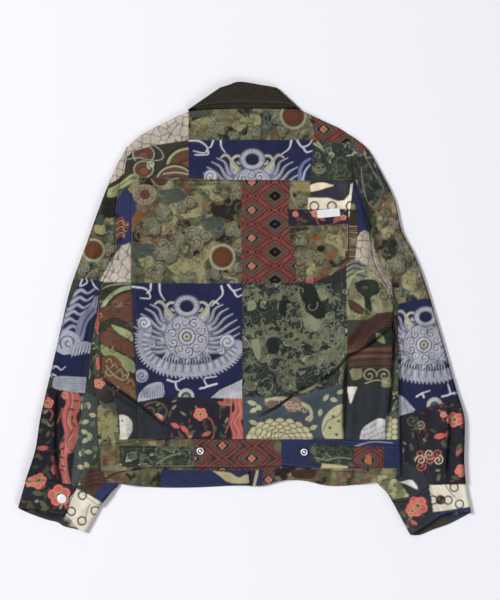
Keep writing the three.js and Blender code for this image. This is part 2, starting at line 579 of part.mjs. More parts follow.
// Sleeves, of a wide upper piece and a narrow under piece. Down to the underarm their inner side is
// sewn to the armhole, and below it they fold over. Shares run from the outer fold to the inner one.
const UPPER_COLUMNS = 7;
const UNDER_COLUMNS = 3;
function sleeve(isLeft) {
  const [cap, arm, side] = isLeft ? [CAP_LEFT, ARM_LEFT, SIDE_LEFT] : [CAP_RIGHT, ARM_RIGHT, SIDE_RIGHT];
  const outer = isLeft ? SLEEVE_OUT_LEFT : SLEEVE_OUT_RIGHT;
  const inner = isLeft ? SLEEVE_IN_LEFT : SLEEVE_IN_RIGHT;
  const cuffTop = isLeft ? CUFF_TOP_LEFT : CUFF_TOP_RIGHT;
  const backSeam = isLeft ? BACK_SEAM_LEFT : BACK_SEAM_RIGHT;
  const underarm = isLeft ? UNDERARM_LEFT : UNDERARM_RIGHT;
  const sideName = isLeft ? 'left' : 'right';
  const run = cap.at(1).sub(cap.at(0)).normalize();
  const capSide = new THREE.Vector3(run.y, -run.x, 0).multiplyScalar(isLeft ? 1 : -1);
  const armAt = (row) => arm.points[Math.floor(row)].clone()
    .lerp(arm.points[Math.min(Math.floor(row) + 1, ARM_STEPS)], row % 1);
  const ring = (row) => {
    const v = row / ROWS;
    const plan = (share) => {
      const to = row <= ARM_STEPS ? armAt(row) : inner.at((row - ARM_STEPS) / SIDE_STEPS);
      const p = outer.at(v).lerp(to, share);
      if (row === 0) {
        p.addScaledVector(capSide, ARMHOLE_GAP);
      }
      const fromCuff = cuffTop.at(share).sub(cuffTop.at(0).lerp(cuffTop.at(1), share));
      return p.addScaledVector(fromCuff, smooth(v, 0.8, 1));
    };
    const height = (x, y) => {
      const inward = isLeft ? x - side.xAt(y) : side.xAt(y) - x;
      const tucked = smooth(inward, -30, -7) * (1 - smooth(y, underarm - 14, underarm + 8))
        * smooth(y, -345, -322);
      const loft = (CUFF_HEIGHT - FLAT) * smooth(v, 0.55, 1) + 1.2 * Math.sin(Math.PI * v);
      const free = Math.max(FLAT + loft + relief(x, y) * (1 - smooth(v, 0.93, 1)), CLOTH + LEAST_AIR + CLOTH);
      return mix(free, TUCKED, tucked);
    };
    return new Ring(plan, plan, height);
  };
  const row = (at, stationsOf) => {
    const here = ring(at);
    const sewn = 1 - ARMHOLE_GAP / here.width;
    const flat = 1 - here.bend(1) - 0.02;
    const seam = at < ARM_STEPS ? sewn : Math.min(fromTable(backSeam, at), flat);
    const forearm = at < ARM_STEPS ? sewn : Math.min(fromTable(FOREARM_SEAM, at), flat);
    const points = stationsOf(here, seam, forearm).map((station) => here.point(station));
    return isLeft ? points : points.reverse();
  };
  const upperRows = [0, 1, 2, 3, 4, 5, 5.88];
  for (let at = ARM_STEPS; at <= ROWS; at += 1) {
    upperRows.push(at);
  }
  const upper = upperRows.map((at) => row(at, (here, seam, forearm) => [
    ...onBottom(forearm, here.bend(0), 4), ...leftFold, ...onTop(here.bend(0), seam, UPPER_COLUMNS)]));
  add(cloth(`sleeve_upper_${sideName}`, trim(upper, [0, HALF, HALF, HALF]), CLOTH, '#33365a'));
  const lower = spaced(ARM_STEPS, ROWS, SIDE_STEPS).map((at) => row(at, (here, seam, forearm) => [
    ...onTop(seam, 1 - here.bend(1), UNDER_COLUMNS), ...rightFold, ...onBottom(1 - here.bend(1), forearm, 2)]));
  add(cloth(`sleeve_under_${sideName}`, trim(lower, [HALF, HALF, HALF, HALF]), CLOTH, '#4a4a35'));
}
sleeve(true);
sleeve(false);

// Cuffs: a band round the wrist whose outer end laps over its inner end and is fastened there
const CUFF_LAP = 0.1; // how far the under end reaches beneath the flap, as a share of the way across
function cuff(isLeft) {
  const top = isLeft ? CUFF_TOP_LEFT : CUFF_TOP_RIGHT;
  const near = isLeft ? CUFF_END_LEFT : CUFF_END_RIGHT;
  const far = isLeft ? CUFF_FAR_LEFT : CUFF_FAR_RIGHT;
  const flap = fromTable(isLeft ? BACK_SEAM_LEFT : BACK_SEAM_RIGHT, ROWS);
  const forearm = fromTable(FOREARM_SEAM, ROWS);
  const rows = even(3).map((v) => {
    const over = (share) => top.at(share).lerp(near.at(share), v);
    const beneath = (share) => top.at(share).lerp(far.at(share), v);
    const tall = CUFF_HEIGHT + 2 * v;
    const round = new Ring(over, beneath, () => tall);
    const lowered = new Ring(over, beneath, (x, y, share) => (
      tall - (BAND + 2 * SEAM_GAP) * (1 - smooth(share, flap + 0.02, 0.9 - 0.1 * flap))));
    const bend = [round.bend(0), round.bend(1)];
    const points = [
      ...onTop(flap - CUFF_LAP, flap, 1).slice(0, 1).map((station) => lowered.point(station)),
      ...onTop(flap, 1 - bend[1], UNDER_COLUMNS).map((station) => lowered.point(station)),
      ...[...rightFold, ...onBottom(1 - bend[1], forearm, 2), ...onBottom(forearm, bend[0], 4).slice(1),
        ...leftFold, ...onTop(bend[0], flap, UPPER_COLUMNS)].map((station) => round.point(station)),
    ];
    return isLeft ? points : points.reverse();
  });
  trim(rows, [CUFF_SEAM_GAP, 0, 0, 0]);
  add(cloth(`cuff_${isLeft ? 'left' : 'right'}`, rows, BAND, isLeft ? '#3b2b2f' : '#d8cfc0'));
}
cuff(true);
cuff(false);

// Collar: a stand sewn to the neck, and a fall turned down over it. Both are rings pressed flat, open
// at the centre front, which lies on the table.
const COLLAR_TOP = new Edge([[-45, 403], [-29, 408], [-11, 414], [33, 408], [46, 406], [61, 403]], 16);
const FALL_BACK = new Edge(
  [[-102, 364], [-71, 371], [-44, 374], [-7, 375], [33, 374], [75, 373], [101, 366]], 16);
const COLLAR_TOP_FRONT = new Edge([[-45, 403], [-30, 368], [0, 354], [26, 352], [46, 364], [61, 403]], 16);
const FALL_FRONT = new Edge(
  [[-102, 364], [-90, 326], [-62, 300], [-20, 286], [26, 285], [64, 294], [90, 326], [101, 366]], 16);
const STAND_TOP = new Edge([[-50, 391], [-27, 396], [-10, 400], [32, 395], [50, 392], [64, 390]], 16);
const STAND_TOP_FRONT = new Edge([[-50, 391], [-38, 362], [-3, 345], [26, 341], [50, 353], [64, 390]], 16);
const NECK_LINE = new Edge([[-95, 363], [-71, 365], [2, 366], [75, 366.5], [94, 367]], 16);
const NECK_LINE_FRONT = new Edge([[-95, 363], [-76, 339], [-30, 316], [26, 310], [66, 322], [94, 367]], 16);
const OPENING = 2; // between the two front ends
function collar(name, levels, wall, colour) {
  const rows = levels.map(({ back, front, tall, floor }) => {
    const ring = new Ring((share) => back.at(share), (share) => front.at(share), () => floor + tall, floor);
    const middle = shares(front).reduce((best, t) => (
      Math.abs(front.at(t).x - PLACKET_X) < Math.abs(front.at(best).x - PLACKET_X) ? t : best));
    const half = OPENING / 2 / front.length;
    const bend = [ring.bend(0), ring.bend(1)];
    return [...onBottom(middle - half, bend[0], 5), ...leftFold, ...onTop(bend[0], 1 - bend[1], 12), ...rightFold,
      ...onBottom(1 - bend[1], middle + half, 5)].map((station) => ring.point(station));
  });
  return cloth(name, rows, wall, colour);
}
const between = (from, to, v, steps = 16) => new Edge([[0, 0], [1, 1]]).set(
  even(steps).map((t) => from.at(t).lerp(to.at(t), v)));
const STAND_FLOOR = BAND + SEAM_GAP;
const STAND_TALL = FLAT;
const PRESSED = 2; // the stand's doubled cloth, inside the fall
add(collar('collar_stand', even(2).map((v) => ({
  back: between(STAND_TOP, NECK_LINE, v),
  front: between(STAND_TOP_FRONT, NECK_LINE_FRONT, v),
  tall: STAND_TALL,
  floor: STAND_FLOOR,
})), PRESSED, '#2b2620'));
const FALL_TALL = STAND_FLOOR + STAND_TALL + SEAM_GAP + BAND;
add(collar('collar_fall', [[0, 2.4], [0.04, 0.6], [0.12, 0], [0.5, 0], [1, 0]].map(([v, rolledIn]) => ({
  back: between(COLLAR_TOP, FALL_BACK, v),
  front: between(COLLAR_TOP_FRONT, FALL_FRONT, v),
  tall: FALL_TALL - 2 * rolledIn,
  floor: rolledIn,
})), BAND, '#332d24'));

const LAID_GAP = 0.45; // under a piece laid on a panel
// Pieces that lie on a panel follow its own facets. A place on the panel is a row and a column, with
// shares of a cell as decimals.
const onPanel = (rows, i, j) => {
  const [i0, j0] = [Math.min(Math.floor(i), rows.length - 2), Math.min(Math.floor(j), rows[0].length - 2)];
  const upper = rows[i0][j0].clone().lerp(rows[i0][j0 + 1], j - j0);
  const lower = rows[i0 + 1][j0].clone().lerp(rows[i0 + 1][j0 + 1], j - j0);
  return upper.lerp(lower, i - i0);
};
const placeOn = (rows, x, y) => {
  let [best, nearest] = [[0, 0], Infinity];
  const step = 0.05;
  for (let i = 0; i <= rows.length - 1; i += step) {
    for (let j = 0; j <= rows[0].length - 1; j += step) {
      const p = onPanel(rows, i, j);
      const off = (p.x - x) ** 2 + (p.y - y) ** 2;
      if (off < nearest) {
        [best, nearest] = [[i, j], off];
      }
    }
  }
  return best;
};
// corners are top left, top right, bottom right and bottom left, in plan.
function laidOn(name, panel, corners, wall, colour) {
  const [a, b, c, d] = corners.map(([x, y]) => placeOn(panel, x, y));
  const within = (from, to) => {
    const whole = [];
    for (let k = Math.ceil(from + 0.1); k < to - 0.1; k += 1) {
      whole.push(k);
    }
    return whole;
  };
  const left = (a[1] + d[1]) / 2;
  const right = (b[1] + c[1]) / 2;
  const columns = [left, ...within(left, right), right];
  const middles = within(Math.max(a[0], b[0]), Math.min(c[0], d[0]));
  const rows = [0, ...middles, 1].map((row, k, all) => columns.map((j) => {
    const t = (j - left) / (right - left);
    const i = k === 0 ? mix(a[0], b[0], t) : k === all.length - 1 ? mix(d[0], c[0], t) : row;
    const p = onPanel(panel, i, j);
    return p.setZ(p.z + LAID_GAP + wall);
  }));
  return cloth(name, rows, wall, colour);
}
const LABEL_CORNERS = [[134, 179], [175, 183], [177, 168], [135, 164]];
add(laidOn('label', backRows, LABEL_CORNERS, TAG, '#e8e4da'));

// Adjuster tabs, sewn to the waistband at their outer ends
const TAB = 2;
const TAB_LEFT = [[-223, -255], [-97, -258], [-97, -286], [-223, -288]];
const TAB_RIGHT = [[123, -252], [253, -258], [253, -290], [123, -280]];
add(laidOn('adjuster_tab_left', waistbandRows, TAB_LEFT, TAB, '#2f3a33'));
add(laidOn('adjuster_tab_right', waistbandRows, TAB_RIGHT, TAB, '#2f3a33'));

// Buttons: a dished disc with a raised ring round it
const button = (name, x, y, z, width, colour) => {
  const r = width / 2;
  const profile = [[0, 0], [0.62, 0], [0.9, 0.35], [1, 1.1], [0.94, 2.1], [0.8, BUTTON_FACE], [0.66, 2.1], [0, 1.7]]
    .map(([share, height]) => new THREE.Vector2(share * r, height));
  const geometry = new THREE.LatheGeometry(profile, 16);
  geometry.rotateX(Math.PI / 2);
  geometry.translate(x, y, z);
  return named(name, geometry, { color: colour, roughness: 0.4, metalness: 1 });
};
const down = new THREE.Vector3(0, 0, -1);
const ray = new THREE.Raycaster();
// The lowest a disc of a given width can lie on a piece.
const settled = (onto, x, y, width) => {
  const target = group.getObjectByName(onto);
  const points = [[0, 0]];
  for (let k = 0; k < 12; k += 1) {
    points.push([Math.cos((k * Math.PI) / 6) * width * 0.5, Math.sin((k * Math.PI) / 6) * width * 0.5]);
  }
  const heights = points.map(([dx, dy]) => {
    ray.set(new THREE.Vector3(x + dx, y + dy, 100), down);
    const hits = ray.intersectObject(target);
    return hits.length > 0 ? hits[0].point.z : -Infinity;
  });
  return Math.max(...heights) + SEAM_GAP;
};
const fastened = [
  ['cuff_button_left', 'cuff_left', -333, -349, BUTTON, '#b9b4a8'],
  ['cuff_button_right', 'cuff_right', 359, -351, BUTTON, '#8a8172'],
  ['tab_button_left', 'adjuster_tab_left', -108, -268, TAB_BUTTON, '#8a8172'],
  ['tab_button_right', 'adjuster_tab_right', 140, -266, TAB_BUTTON, '#8a8172'],
  ['spare_button_left', 'waistband_back', -80, -262, TAB_BUTTON, '#b9b4a8'],
  ['spare_button_right', 'waistband_back', 110, -264, TAB_BUTTON, '#b9b4a8'],
];
for (const [name, onto, x, y, width, colour] of fastened) {
  add(button(name, x, y, settled(onto, x, y, width), width, colour));
}

// The front's buttons show on its outer face, which is the one on the table.
const FRONT_BUTTON_TOP = 258;
const FRONT_BUTTON_STEP = 111.6;
for (let k = 0; k < 6; k += 1) {
  const mesh = button(`front_button_${k + 1}`, 0, 0, 0, BUTTON, '#8a8172');
  mesh.geometry.rotateX(Math.PI);
  mesh.geometry.translate(PLACKET_X, FRONT_BUTTON_TOP - k * FRONT_BUTTON_STEP, BUTTON_FACE);
  add(mesh);
}

// The origin is under the middle of the whole jacket.
const box = new THREE.Box3().setFromObject(group);
const centre = box.getCenter(new THREE.Vector3());
for (const mesh of group.children) {
  mesh.geometry.translate(-centre.x, -centre.y, -box.min.z);
}

export default group;
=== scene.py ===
import math

import bmesh
import bpy
import numpy as np
from mathutils import Matrix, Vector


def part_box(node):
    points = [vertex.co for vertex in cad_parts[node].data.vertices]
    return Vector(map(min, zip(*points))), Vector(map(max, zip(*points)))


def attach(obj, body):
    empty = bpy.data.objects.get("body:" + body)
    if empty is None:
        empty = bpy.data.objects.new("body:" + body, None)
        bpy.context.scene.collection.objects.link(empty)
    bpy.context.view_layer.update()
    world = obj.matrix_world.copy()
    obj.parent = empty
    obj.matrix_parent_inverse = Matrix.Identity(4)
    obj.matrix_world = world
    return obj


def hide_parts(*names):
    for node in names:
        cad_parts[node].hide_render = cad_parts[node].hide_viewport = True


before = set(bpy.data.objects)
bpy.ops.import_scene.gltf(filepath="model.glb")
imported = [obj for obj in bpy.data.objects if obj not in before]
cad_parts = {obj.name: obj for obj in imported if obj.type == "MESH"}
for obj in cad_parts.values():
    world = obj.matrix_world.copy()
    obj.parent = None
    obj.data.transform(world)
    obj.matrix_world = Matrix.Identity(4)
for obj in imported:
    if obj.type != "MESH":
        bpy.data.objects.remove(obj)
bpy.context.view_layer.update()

# Light, floor and camera
# A plain pale table under a large soft light from the upper left, seen from straight above. Plan
# points are in millimetres as they were read on the table, x to the right and y towards the collar.
# A piece is made in them and then moved so that the middle of the jacket is the origin.
MIDDLE = (1.0, -1.29)
PIXEL = 1.83  # millimetres of the table to a pixel of the photograph
PHOTO = (500, 600)
PHOTO_ORIGIN = (244, 307.75)  # the pixel of plan point 0, 0
eye = bpy.data.cameras.new("camera")
eye.sensor_fit = "VERTICAL"
eye.lens = 100
eye.sensor_height = 36
eye.clip_end = 20
camera = bpy.data.objects.new("camera", eye)
bpy.context.collection.objects.link(camera)
bpy.context.scene.camera = camera
camera.location = (
    ((PHOTO[0] / 2 - PHOTO_ORIGIN[0]) * PIXEL - MIDDLE[0]) / 1000,
    ((PHOTO_ORIGIN[1] - PHOTO[1] / 2) * PIXEL - MIDDLE[1]) / 1000,
    PHOTO[1] * PIXEL / 1000 * 100 / 36 + 0.012,
)


def linear(code):
    """An sRGB hex colour as linear numbers."""
    parts = [int(code[k : k + 2], 16) / 255 for k in (1, 3, 5)]
    return tuple(c / 12.92 if c <= 0.04045 else ((c + 0.055) / 1.055) ** 2.4 for c in parts)


def node(tree, kind, settings=None, **links):
    """Adds a shader node; links are the sockets or values of its inputs, spaces written as _."""
    made = tree.nodes.new(kind)
    for key, value in (settings or {}).items():
        setattr(made, key, value)
    for key, value in links.items():
        slot = made.inputs[int(key[1:])] if key[1:].isdigit() else made.inputs[key.replace("_", " ")]
        if isinstance(value, bpy.types.NodeSocket):
            tree.links.new(value, slot)
        else:
            slot.default_value = value
    return made


def material(name):
    made = bpy.data.materials.new(name)
    made.use_nodes = True
    made.node_tree.nodes.clear()
    return made, made.node_tree


# Board painted a flat off-white: no gloss, so the floor stays one even tone.
table_paint, tree = material("painted_board")
board = node(tree, "ShaderNodeBsdfPrincipled", Base_Color=(*linear("#dcdbde"), 1), Roughness=0.9)
node(tree, "ShaderNodeOutputMaterial", Surface=board.outputs[0])
made = bmesh.new()
bmesh.ops.create_grid(made, x_segments=1, y_segments=1, size=6)
bmesh.ops.translate(made, verts=made.verts, vec=(0, 0, -0.0006))
floor_mesh = bpy.data.meshes.new("table")
made.to_mesh(floor_mesh)
made.free()
floor = bpy.data.objects.new("table", floor_mesh)
bpy.context.collection.objects.link(floor)
floor.data.materials.append(table_paint)
bpy.context.scene.view_settings.view_transform = "Standard"
room = bpy.data.worlds.new("studio")
bpy.context.scene.world = room
room.use_nodes = True
room.node_tree.nodes["Background"].inputs["Color"].default_value = (*linear("#f3f3f6"), 1)
room.node_tree.nodes["Background"].inputs["Strength"].default_value = 0.36
for name, place, size, power in (
    ("key", (-3.7, 1.5, 5.4), 1.8, 430),
    ("fill", (2.4, -3.4, 3.4), 2.6, 112),
):
    lamp = bpy.data.lights.new(name, "AREA")
    lamp.size = size
    lamp.energy = power
    lamp.color = (0.96, 0.975, 1.0)
    holder = bpy.data.objects.new(name, lamp)
    bpy.context.collection.objects.link(holder)
    holder.location = place
    toward = np.array(place) / np.linalg.norm(place)
    holder.rotation_euler = (math.acos(toward[2]), 0, math.atan2(toward[1], toward[0]) + math.pi / 2)

# Patchwork cloth
# Cotton canvas printed and woven with a repeating patchwork. Its print is drawn here by hand, in
# steps of 0.61 mm, and each cut piece then takes from it the colours of the place where it lies.
DRAW = 3  # drawn steps to a pixel
wide, tall = PHOTO[0] * DRAW, PHOTO[1] * DRAW
picture = np.zeros((tall, wide, 3), np.float32)
picture[:] = linear("#35352c")
fine_y, fine_x = np.mgrid[0:tall, 0:wide].astype(np.float32)
lattice = np.random.default_rng(11).random((64, 64)).astype(np.float32)


def curve(points, per=16):
    """A soft line through plan points (centripetal Catmull-Rom)."""
    p = np.array(points, float)
    p = np.vstack([2 * p[0] - p[1], p, 2 * p[-1] - p[-2]])
    out = [p[1]]
    for a, b, c, d in zip(p[:-3], p[1:-2], p[2:-1], p[3:]):
        t = np.cumsum([0, *(np.linalg.norm(e - s) ** 0.5 for s, e in ((a, b), (b, c), (c, d)))])
        u = np.linspace(t[1], t[2], per + 1)[1:, None]
        ab = (t[1] - u) / (t[1] - t[0]) * a + (u - t[0]) / (t[1] - t[0]) * b
        bc = (t[2] - u) / (t[2] - t[1]) * b + (u - t[1]) / (t[2] - t[1]) * c
        cd = (t[3] - u) / (t[3] - t[2]) * c + (u - t[2]) / (t[3] - t[2]) * d
        abc = (t[2] - u) / (t[2] - t[0]) * ab + (u - t[0]) / (t[2] - t[0]) * bc
        bcd = (t[3] - u) / (t[3] - t[1]) * bc + (u - t[1]) / (t[3] - t[1]) * cd
        out.extend((t[2] - u) / (t[2] - t[1]) * abc + (u - t[1]) / (t[2] - t[1]) * bcd)
    return np.array(out)


def uneven(u, v):
    """Random heights from 0 to 1 at whole numbers, with a soft run from one to the next."""
    i, j = np.floor(u).astype(int), np.floor(v).astype(int)
    f, g = u - i, v - j
    f, g = f * f * (3 - 2 * f), g * g * (3 - 2 * g)
    low = lattice[j % 64, i % 64] * (1 - f) + lattice[j % 64, (i + 1) % 64] * f
    high = lattice[(j + 1) % 64, i % 64] * (1 - f) + lattice[(j + 1) % 64, (i + 1) % 64] * f
    return low * (1 - g) + high * g


def lumps(x, y, size, shift=0.0):
    """Soft noise from 0 to 1 with lumps about size steps across."""
    total = 0
    for octave, weight in ((1, 0.6), (2.1, 0.27), (4.3, 0.13)):
        total = total + weight * uneven(x * octave / size + shift * 7.3, y * octave / size + shift * 3.7)
    return total


def swirl(x, y, r, turns=1.3, start=0.0, way=1):
    """Points of a spiral that winds in to x, y."""
    t = np.linspace(0, 1, 18)
    angle = start + way * turns * 2 * np.pi * t
    return np.stack([x + r * (1 - 0.85 * t) * np.cos(angle), y + r * (1 - 0.85 * t) * np.sin(angle)], -1)


class Patch:
    """A patch of the cloth by its outline in drawn steps. What is drawn on it ends at its edge."""

    def __init__(self, outline, colour):
        self.outline = np.array(outline, float)
        self.box = self.window(self.outline, 1)
        self.mask = np.zeros(fine_x.shape, np.float32)
        self.mask[self.box] = self.within(self.outline, self.box)
        self.x, self.y = fine_x[self.box], fine_y[self.box]
        self.colour = colour
        self.faded(1.0)

    def faded(self, wash):
        """Starts the patch again with every colour on it darker by a share."""
        self.wash = wash
        self.lay(self.box, 1.0, self.colour)

    def window(self, points, reach):
        low = np.clip(points.min(0) - reach, 0, None).astype(int)
        high = np.clip(points.max(0) + reach + 2, 0, None).astype(int)
        return (slice(low[1], high[1]), slice(low[0], high[0]))

    def within(self, points, box):
        x, y = fine_x[box], fine_y[box]
        crossed = np.zeros(x.shape, bool)
        for (ax, ay), (bx, by) in zip(points, np.roll(points, -1, 0)):
            if ay != by:
                crossed ^= ((ay > y) != (by > y)) & (x < (bx - ax) * (y - ay) / (by - ay) + ax)
        return crossed

    def lay(self, box, cover, colour):
        cover = (cover * self.mask[box])[..., None]
        picture[box] += (np.array(linear(colour), np.float32) * self.wash - picture[box]) * cover

    def shape(self, points, colour, soft=True, cover=1.0):
        points = np.array(points, float)
        points = curve(np.vstack([points, points[:1]]), 5) if soft else points
        box = self.window(points, 1)
        self.lay(box, self.within(points, box) * cover, colour)

    def line(self, points, width, colour, taper=0.0, cover=1.0):
        """A soft line; with a taper it thins towards its end."""
        points = np.array(points, float)
        points = curve(points, 4) if 2 < len(points) < 16 else points
        box = self.window(points, width)
        x, y = fine_x[box], fine_y[box]
        best = np.full(x.shape, np.inf)
        for k, ((ax, ay), (bx, by)) in enumerate(zip(points[:-1], points[1:])):
            dx, dy = bx - ax, by - ay
            t = np.clip(((x - ax) * dx + (y - ay) * dy) / (dx * dx + dy * dy + 1e-9), 0, 1)
            half = width / 2 * (1 - taper * k / len(points))
            best = np.minimum(best, np.hypot(x - ax - t * dx, y - ay - t * dy) - half)
        self.lay(box, np.clip(0.5 - best, 0, 1) * cover, colour)

    def disc(self, x, y, r, colour, squash=1.0, ring=None, cover=1.0):
        """A disc, or with ring a hoop of that width."""
        box = self.window(np.array([[x - r, y - r], [x + r, y + r]]), 4)
        away = np.hypot(fine_x[box] - x, (fine_y[box] - y) / squash) - r
        edge = -away if ring is None else ring / 2 - np.abs(away)
        self.lay(box, np.clip(edge + 0.5, 0, 1) * cover, colour)

    def noise(self, size, shift, low, high, colour, cover=1.0):
        """Covers the lumps of a noise between two levels."""
        wave = lumps(self.x + 10 * lumps(self.x, self.y, 40, shift + 0.4), self.y, size, shift)
        self.lay(self.box, ((wave > low) & (wave < high)) * cover, colour)

    def many(self, colour, *shapes, **how):
        for points in shapes:
            self.shape(points, colour, **how)


def leaf(on, x, y, long, wide, angle, colour, vein=None):
    t = np.linspace(0, 1, 9)
    half = wide / 2 * np.sin(np.pi * t) ** 0.8
    along = np.stack([np.concatenate([t, t[::-1]]) * long, np.concatenate([half, -half[::-1]])], -1)
    c, s = math.cos(angle), math.sin(angle)
    on.shape(along @ np.array([[c, s], [-s, c]]) + [x, y], colour, soft=False)
    if vein:
        on.line([[x, y], [x + c * long * 0.9, y + s * long * 0.9]], 1.2, vein)


def cloud(on, x, y, r, pale="#8f8d70", line="#b1ae92", dark="#24251f", lobes=3, turn=0.3):
    """A cloud of curls, each a spiral on a soft round lobe."""
    places = []
    for k in range(lobes):
        angle = turn + k * 2 * np.pi / lobes
        places.append((x + r * 0.5 * math.cos(angle), y + r * 0.42 * math.sin(angle), r * 0.52))
    for cx, cy, size in places:
        on.disc(cx + 2, cy + 4, size + 3, dark, cover=0.55)
    for k, (cx, cy, size) in enumerate(places):
        way = 1 if k % 2 else -1
        on.disc(cx, cy, size, pale, cover=0.5)
        on.disc(cx - 2, cy - 3, size * 0.6, line, cover=0.22)
        on.line(swirl(cx, cy, size, 1.6, turn + k, way), 2.2, line, cover=0.55)
        on.line(swirl(cx + 1, cy + 1, size - 3, 1.5, turn + k + 0.4, way), 2.2, dark, 0.3, cover=0.75)


def smoke(on, seed, each=360):
    """Short curls in dark and pale tones over all of a patch."""
    pick = np.random.default_rng(seed)
    low, high = on.outline.min(0), on.outline.max(0)
    for k in range(int((high - low).prod() / each)):
        x, y = pick.uniform(low, high)
        points = swirl(x, y, pick.uniform(6, 20), pick.uniform(0.3, 1.0), pick.uniform(0, 6),
            pick.choice([-1, 1]))
        tint = ("#211f1b", "#2f2a22", "#8a8566", "#3d3f33", "#6a6a50", "#5a4431")[k % 6]
        on.line(points, pick.uniform(1.6, 6.0), tint, 0.6, cover=0.6)


def camouflage(on, shift, clouds=()):
    """Woodland blots in five colours, with smoky shading and cloud scrolls."""
    on.faded(0.60)
    for size, low, high, colour in (
        (64, 0.50, 1.0, "#7d7656"), (50, 0.58, 1.0, "#a0966e"), (46, 0.60, 1.0, "#7b5f46"),
        (52, 0.66, 1.0, "#505a56"), (40, 0.66, 1.0, "#2c2823"),
    ):
        shift += 0.37
        on.noise(size, shift, low, high, colour)
    shade = lumps(on.x, on.y, 16, shift)
    on.lay(on.box, np.clip((shade - 0.5) * 1.6, 0, 0.5), "#2f3127")
    on.lay(on.box, np.clip((0.45 - shade) * 1.4, 0, 0.35), "#a3a284")
    pick = np.random.default_rng(int(shift * 10))
    low, high = on.outline.min(0), on.outline.max(0)
    for _ in range(int((high - low).prod() / 700)):
        x, y = pick.uniform(low, high)
        tint = ("#23251f", "#b0ad88", "#57402f", "#8f9578")[pick.integers(4)]
        on.line(swirl(x, y, pick.uniform(6, 15), pick.uniform(0.4, 1.3), pick.uniform(0, 6),
            pick.choice([-1, 1])), pick.uniform(1.4, 3.4), tint, 0.6, cover=0.5)
    for k, (x, y, r) in enumerate(clouds):
        cloud(on, x, y, r, turn=0.9 * k, lobes=3 + k % 2)


def sun(on, x, y, r):
    on.disc(x, y, r + 9, "#a9a686")
    on.disc(x, y, r + 3, "#6f6b4c")
    on.disc(x, y, r, "#663a28")
    on.disc(x - r * 0.2, y + r * 0.1, r * 0.6, "#70432e", cover=0.6)


def crackle(on, size=24.0):
    """Fine irregular cracks round cells of a cell pattern."""
    on.faded(0.80)
    u = (on.x + 8 * lumps(on.x, on.y, 30, 1.2)) / size
    v = (on.y + 8 * lumps(on.x, on.y, 30, 2.2)) / size
    i, j = np.floor(u).astype(int), np.floor(v).astype(int)
    near, second = np.full(u.shape, 9.0), np.full(u.shape, 9.0)
    for a in (-1, 0, 1):
        for b in (-1, 0, 1):
            cx = i + a + lattice[(j + b) % 64, (i + a) % 64] * 0.9
            cy = j + b + lattice[(j + b + 17) % 64, (i + a + 29) % 64] * 0.9
            d = np.hypot(u - cx, v - cy)
            second = np.minimum(second, np.maximum(near, d))
            near = np.minimum(near, d)
    gap = (second - near) * size
    tone = lumps(on.x, on.y, 60, 3.3)
    on.lay(on.box, np.clip(tone - 0.45, 0, 0.3), "#9d8f7c")
    on.lay(on.box, np.clip(2.8 - gap, 0, 1) * 0.85, "#66616a")
    slant = np.abs((on.x + on.y * 1.1 + 14 * lumps(on.x, on.y, 34, 4.1)) % 24 - 12)
    on.lay(on.box, np.clip(1.4 - slant, 0, 1) * 0.55 * (tone > 0.42), "#5c637d")


def meander(on, x, y, step_x, step_y, both=False):
    """Contour lines round staggered diamonds, with a four-petalled flower in every first one."""
    rings = []
    for shift in (0, 1):
        dx = np.abs((on.x - x - shift * step_x + step_x) % (2 * step_x) - step_x)
        dy = np.abs((on.y - y - shift * step_y + step_y) % (2 * step_y) - step_y)
        rings.append(((0.78 * dx) ** 1.12 + dy**1.12) ** (1 / 1.12))
    d = np.minimum(*rings)
    on.faded(0.62)
    on.lay(on.box, (d > 29) * (((d - 29) % 11.4) < 3.6), "#ad4d45")
    on.lay(on.box, (d > 29) * (np.abs((d - 29) % 11.4 - 7.4) < 0.8) * 0.45, "#a3957c")
    on.lay(on.box, (d > 17) * (d < 29) * (((d - 17) % 6) < 2) * 0.8, "#a1927a")
    on.lay(on.box, d < 16, "#15151b")
    low, high = on.outline.min(0), on.outline.max(0)
    for k in range(-12, 13):
        for m in range(-12, 13):
            if (k + m) % 2 and not both or (k - m) % 2:
                continue
            cx, cy = x + k * step_x, y + m * step_y
            if low[0] - 20 < cx < high[0] + 20 and low[1] - 20 < cy < high[1] + 20:
                if both or k % 2 == 0:
                    for a, b in ((6, 0), (-6, 0), (0, 6), (0, -6)):
                        on.disc(cx + a, cy + b, 5.6, "#c87a62")
                    on.disc(cx, cy, 3, "#7c7a4c")
                else:
                    on.disc(cx, cy, 2.6, "#8b4a48")


def bolt(on, *lines, colour="#c9c6cf"):
    for points in lines:
        on.line(points, 5.5, colour, 0.6)


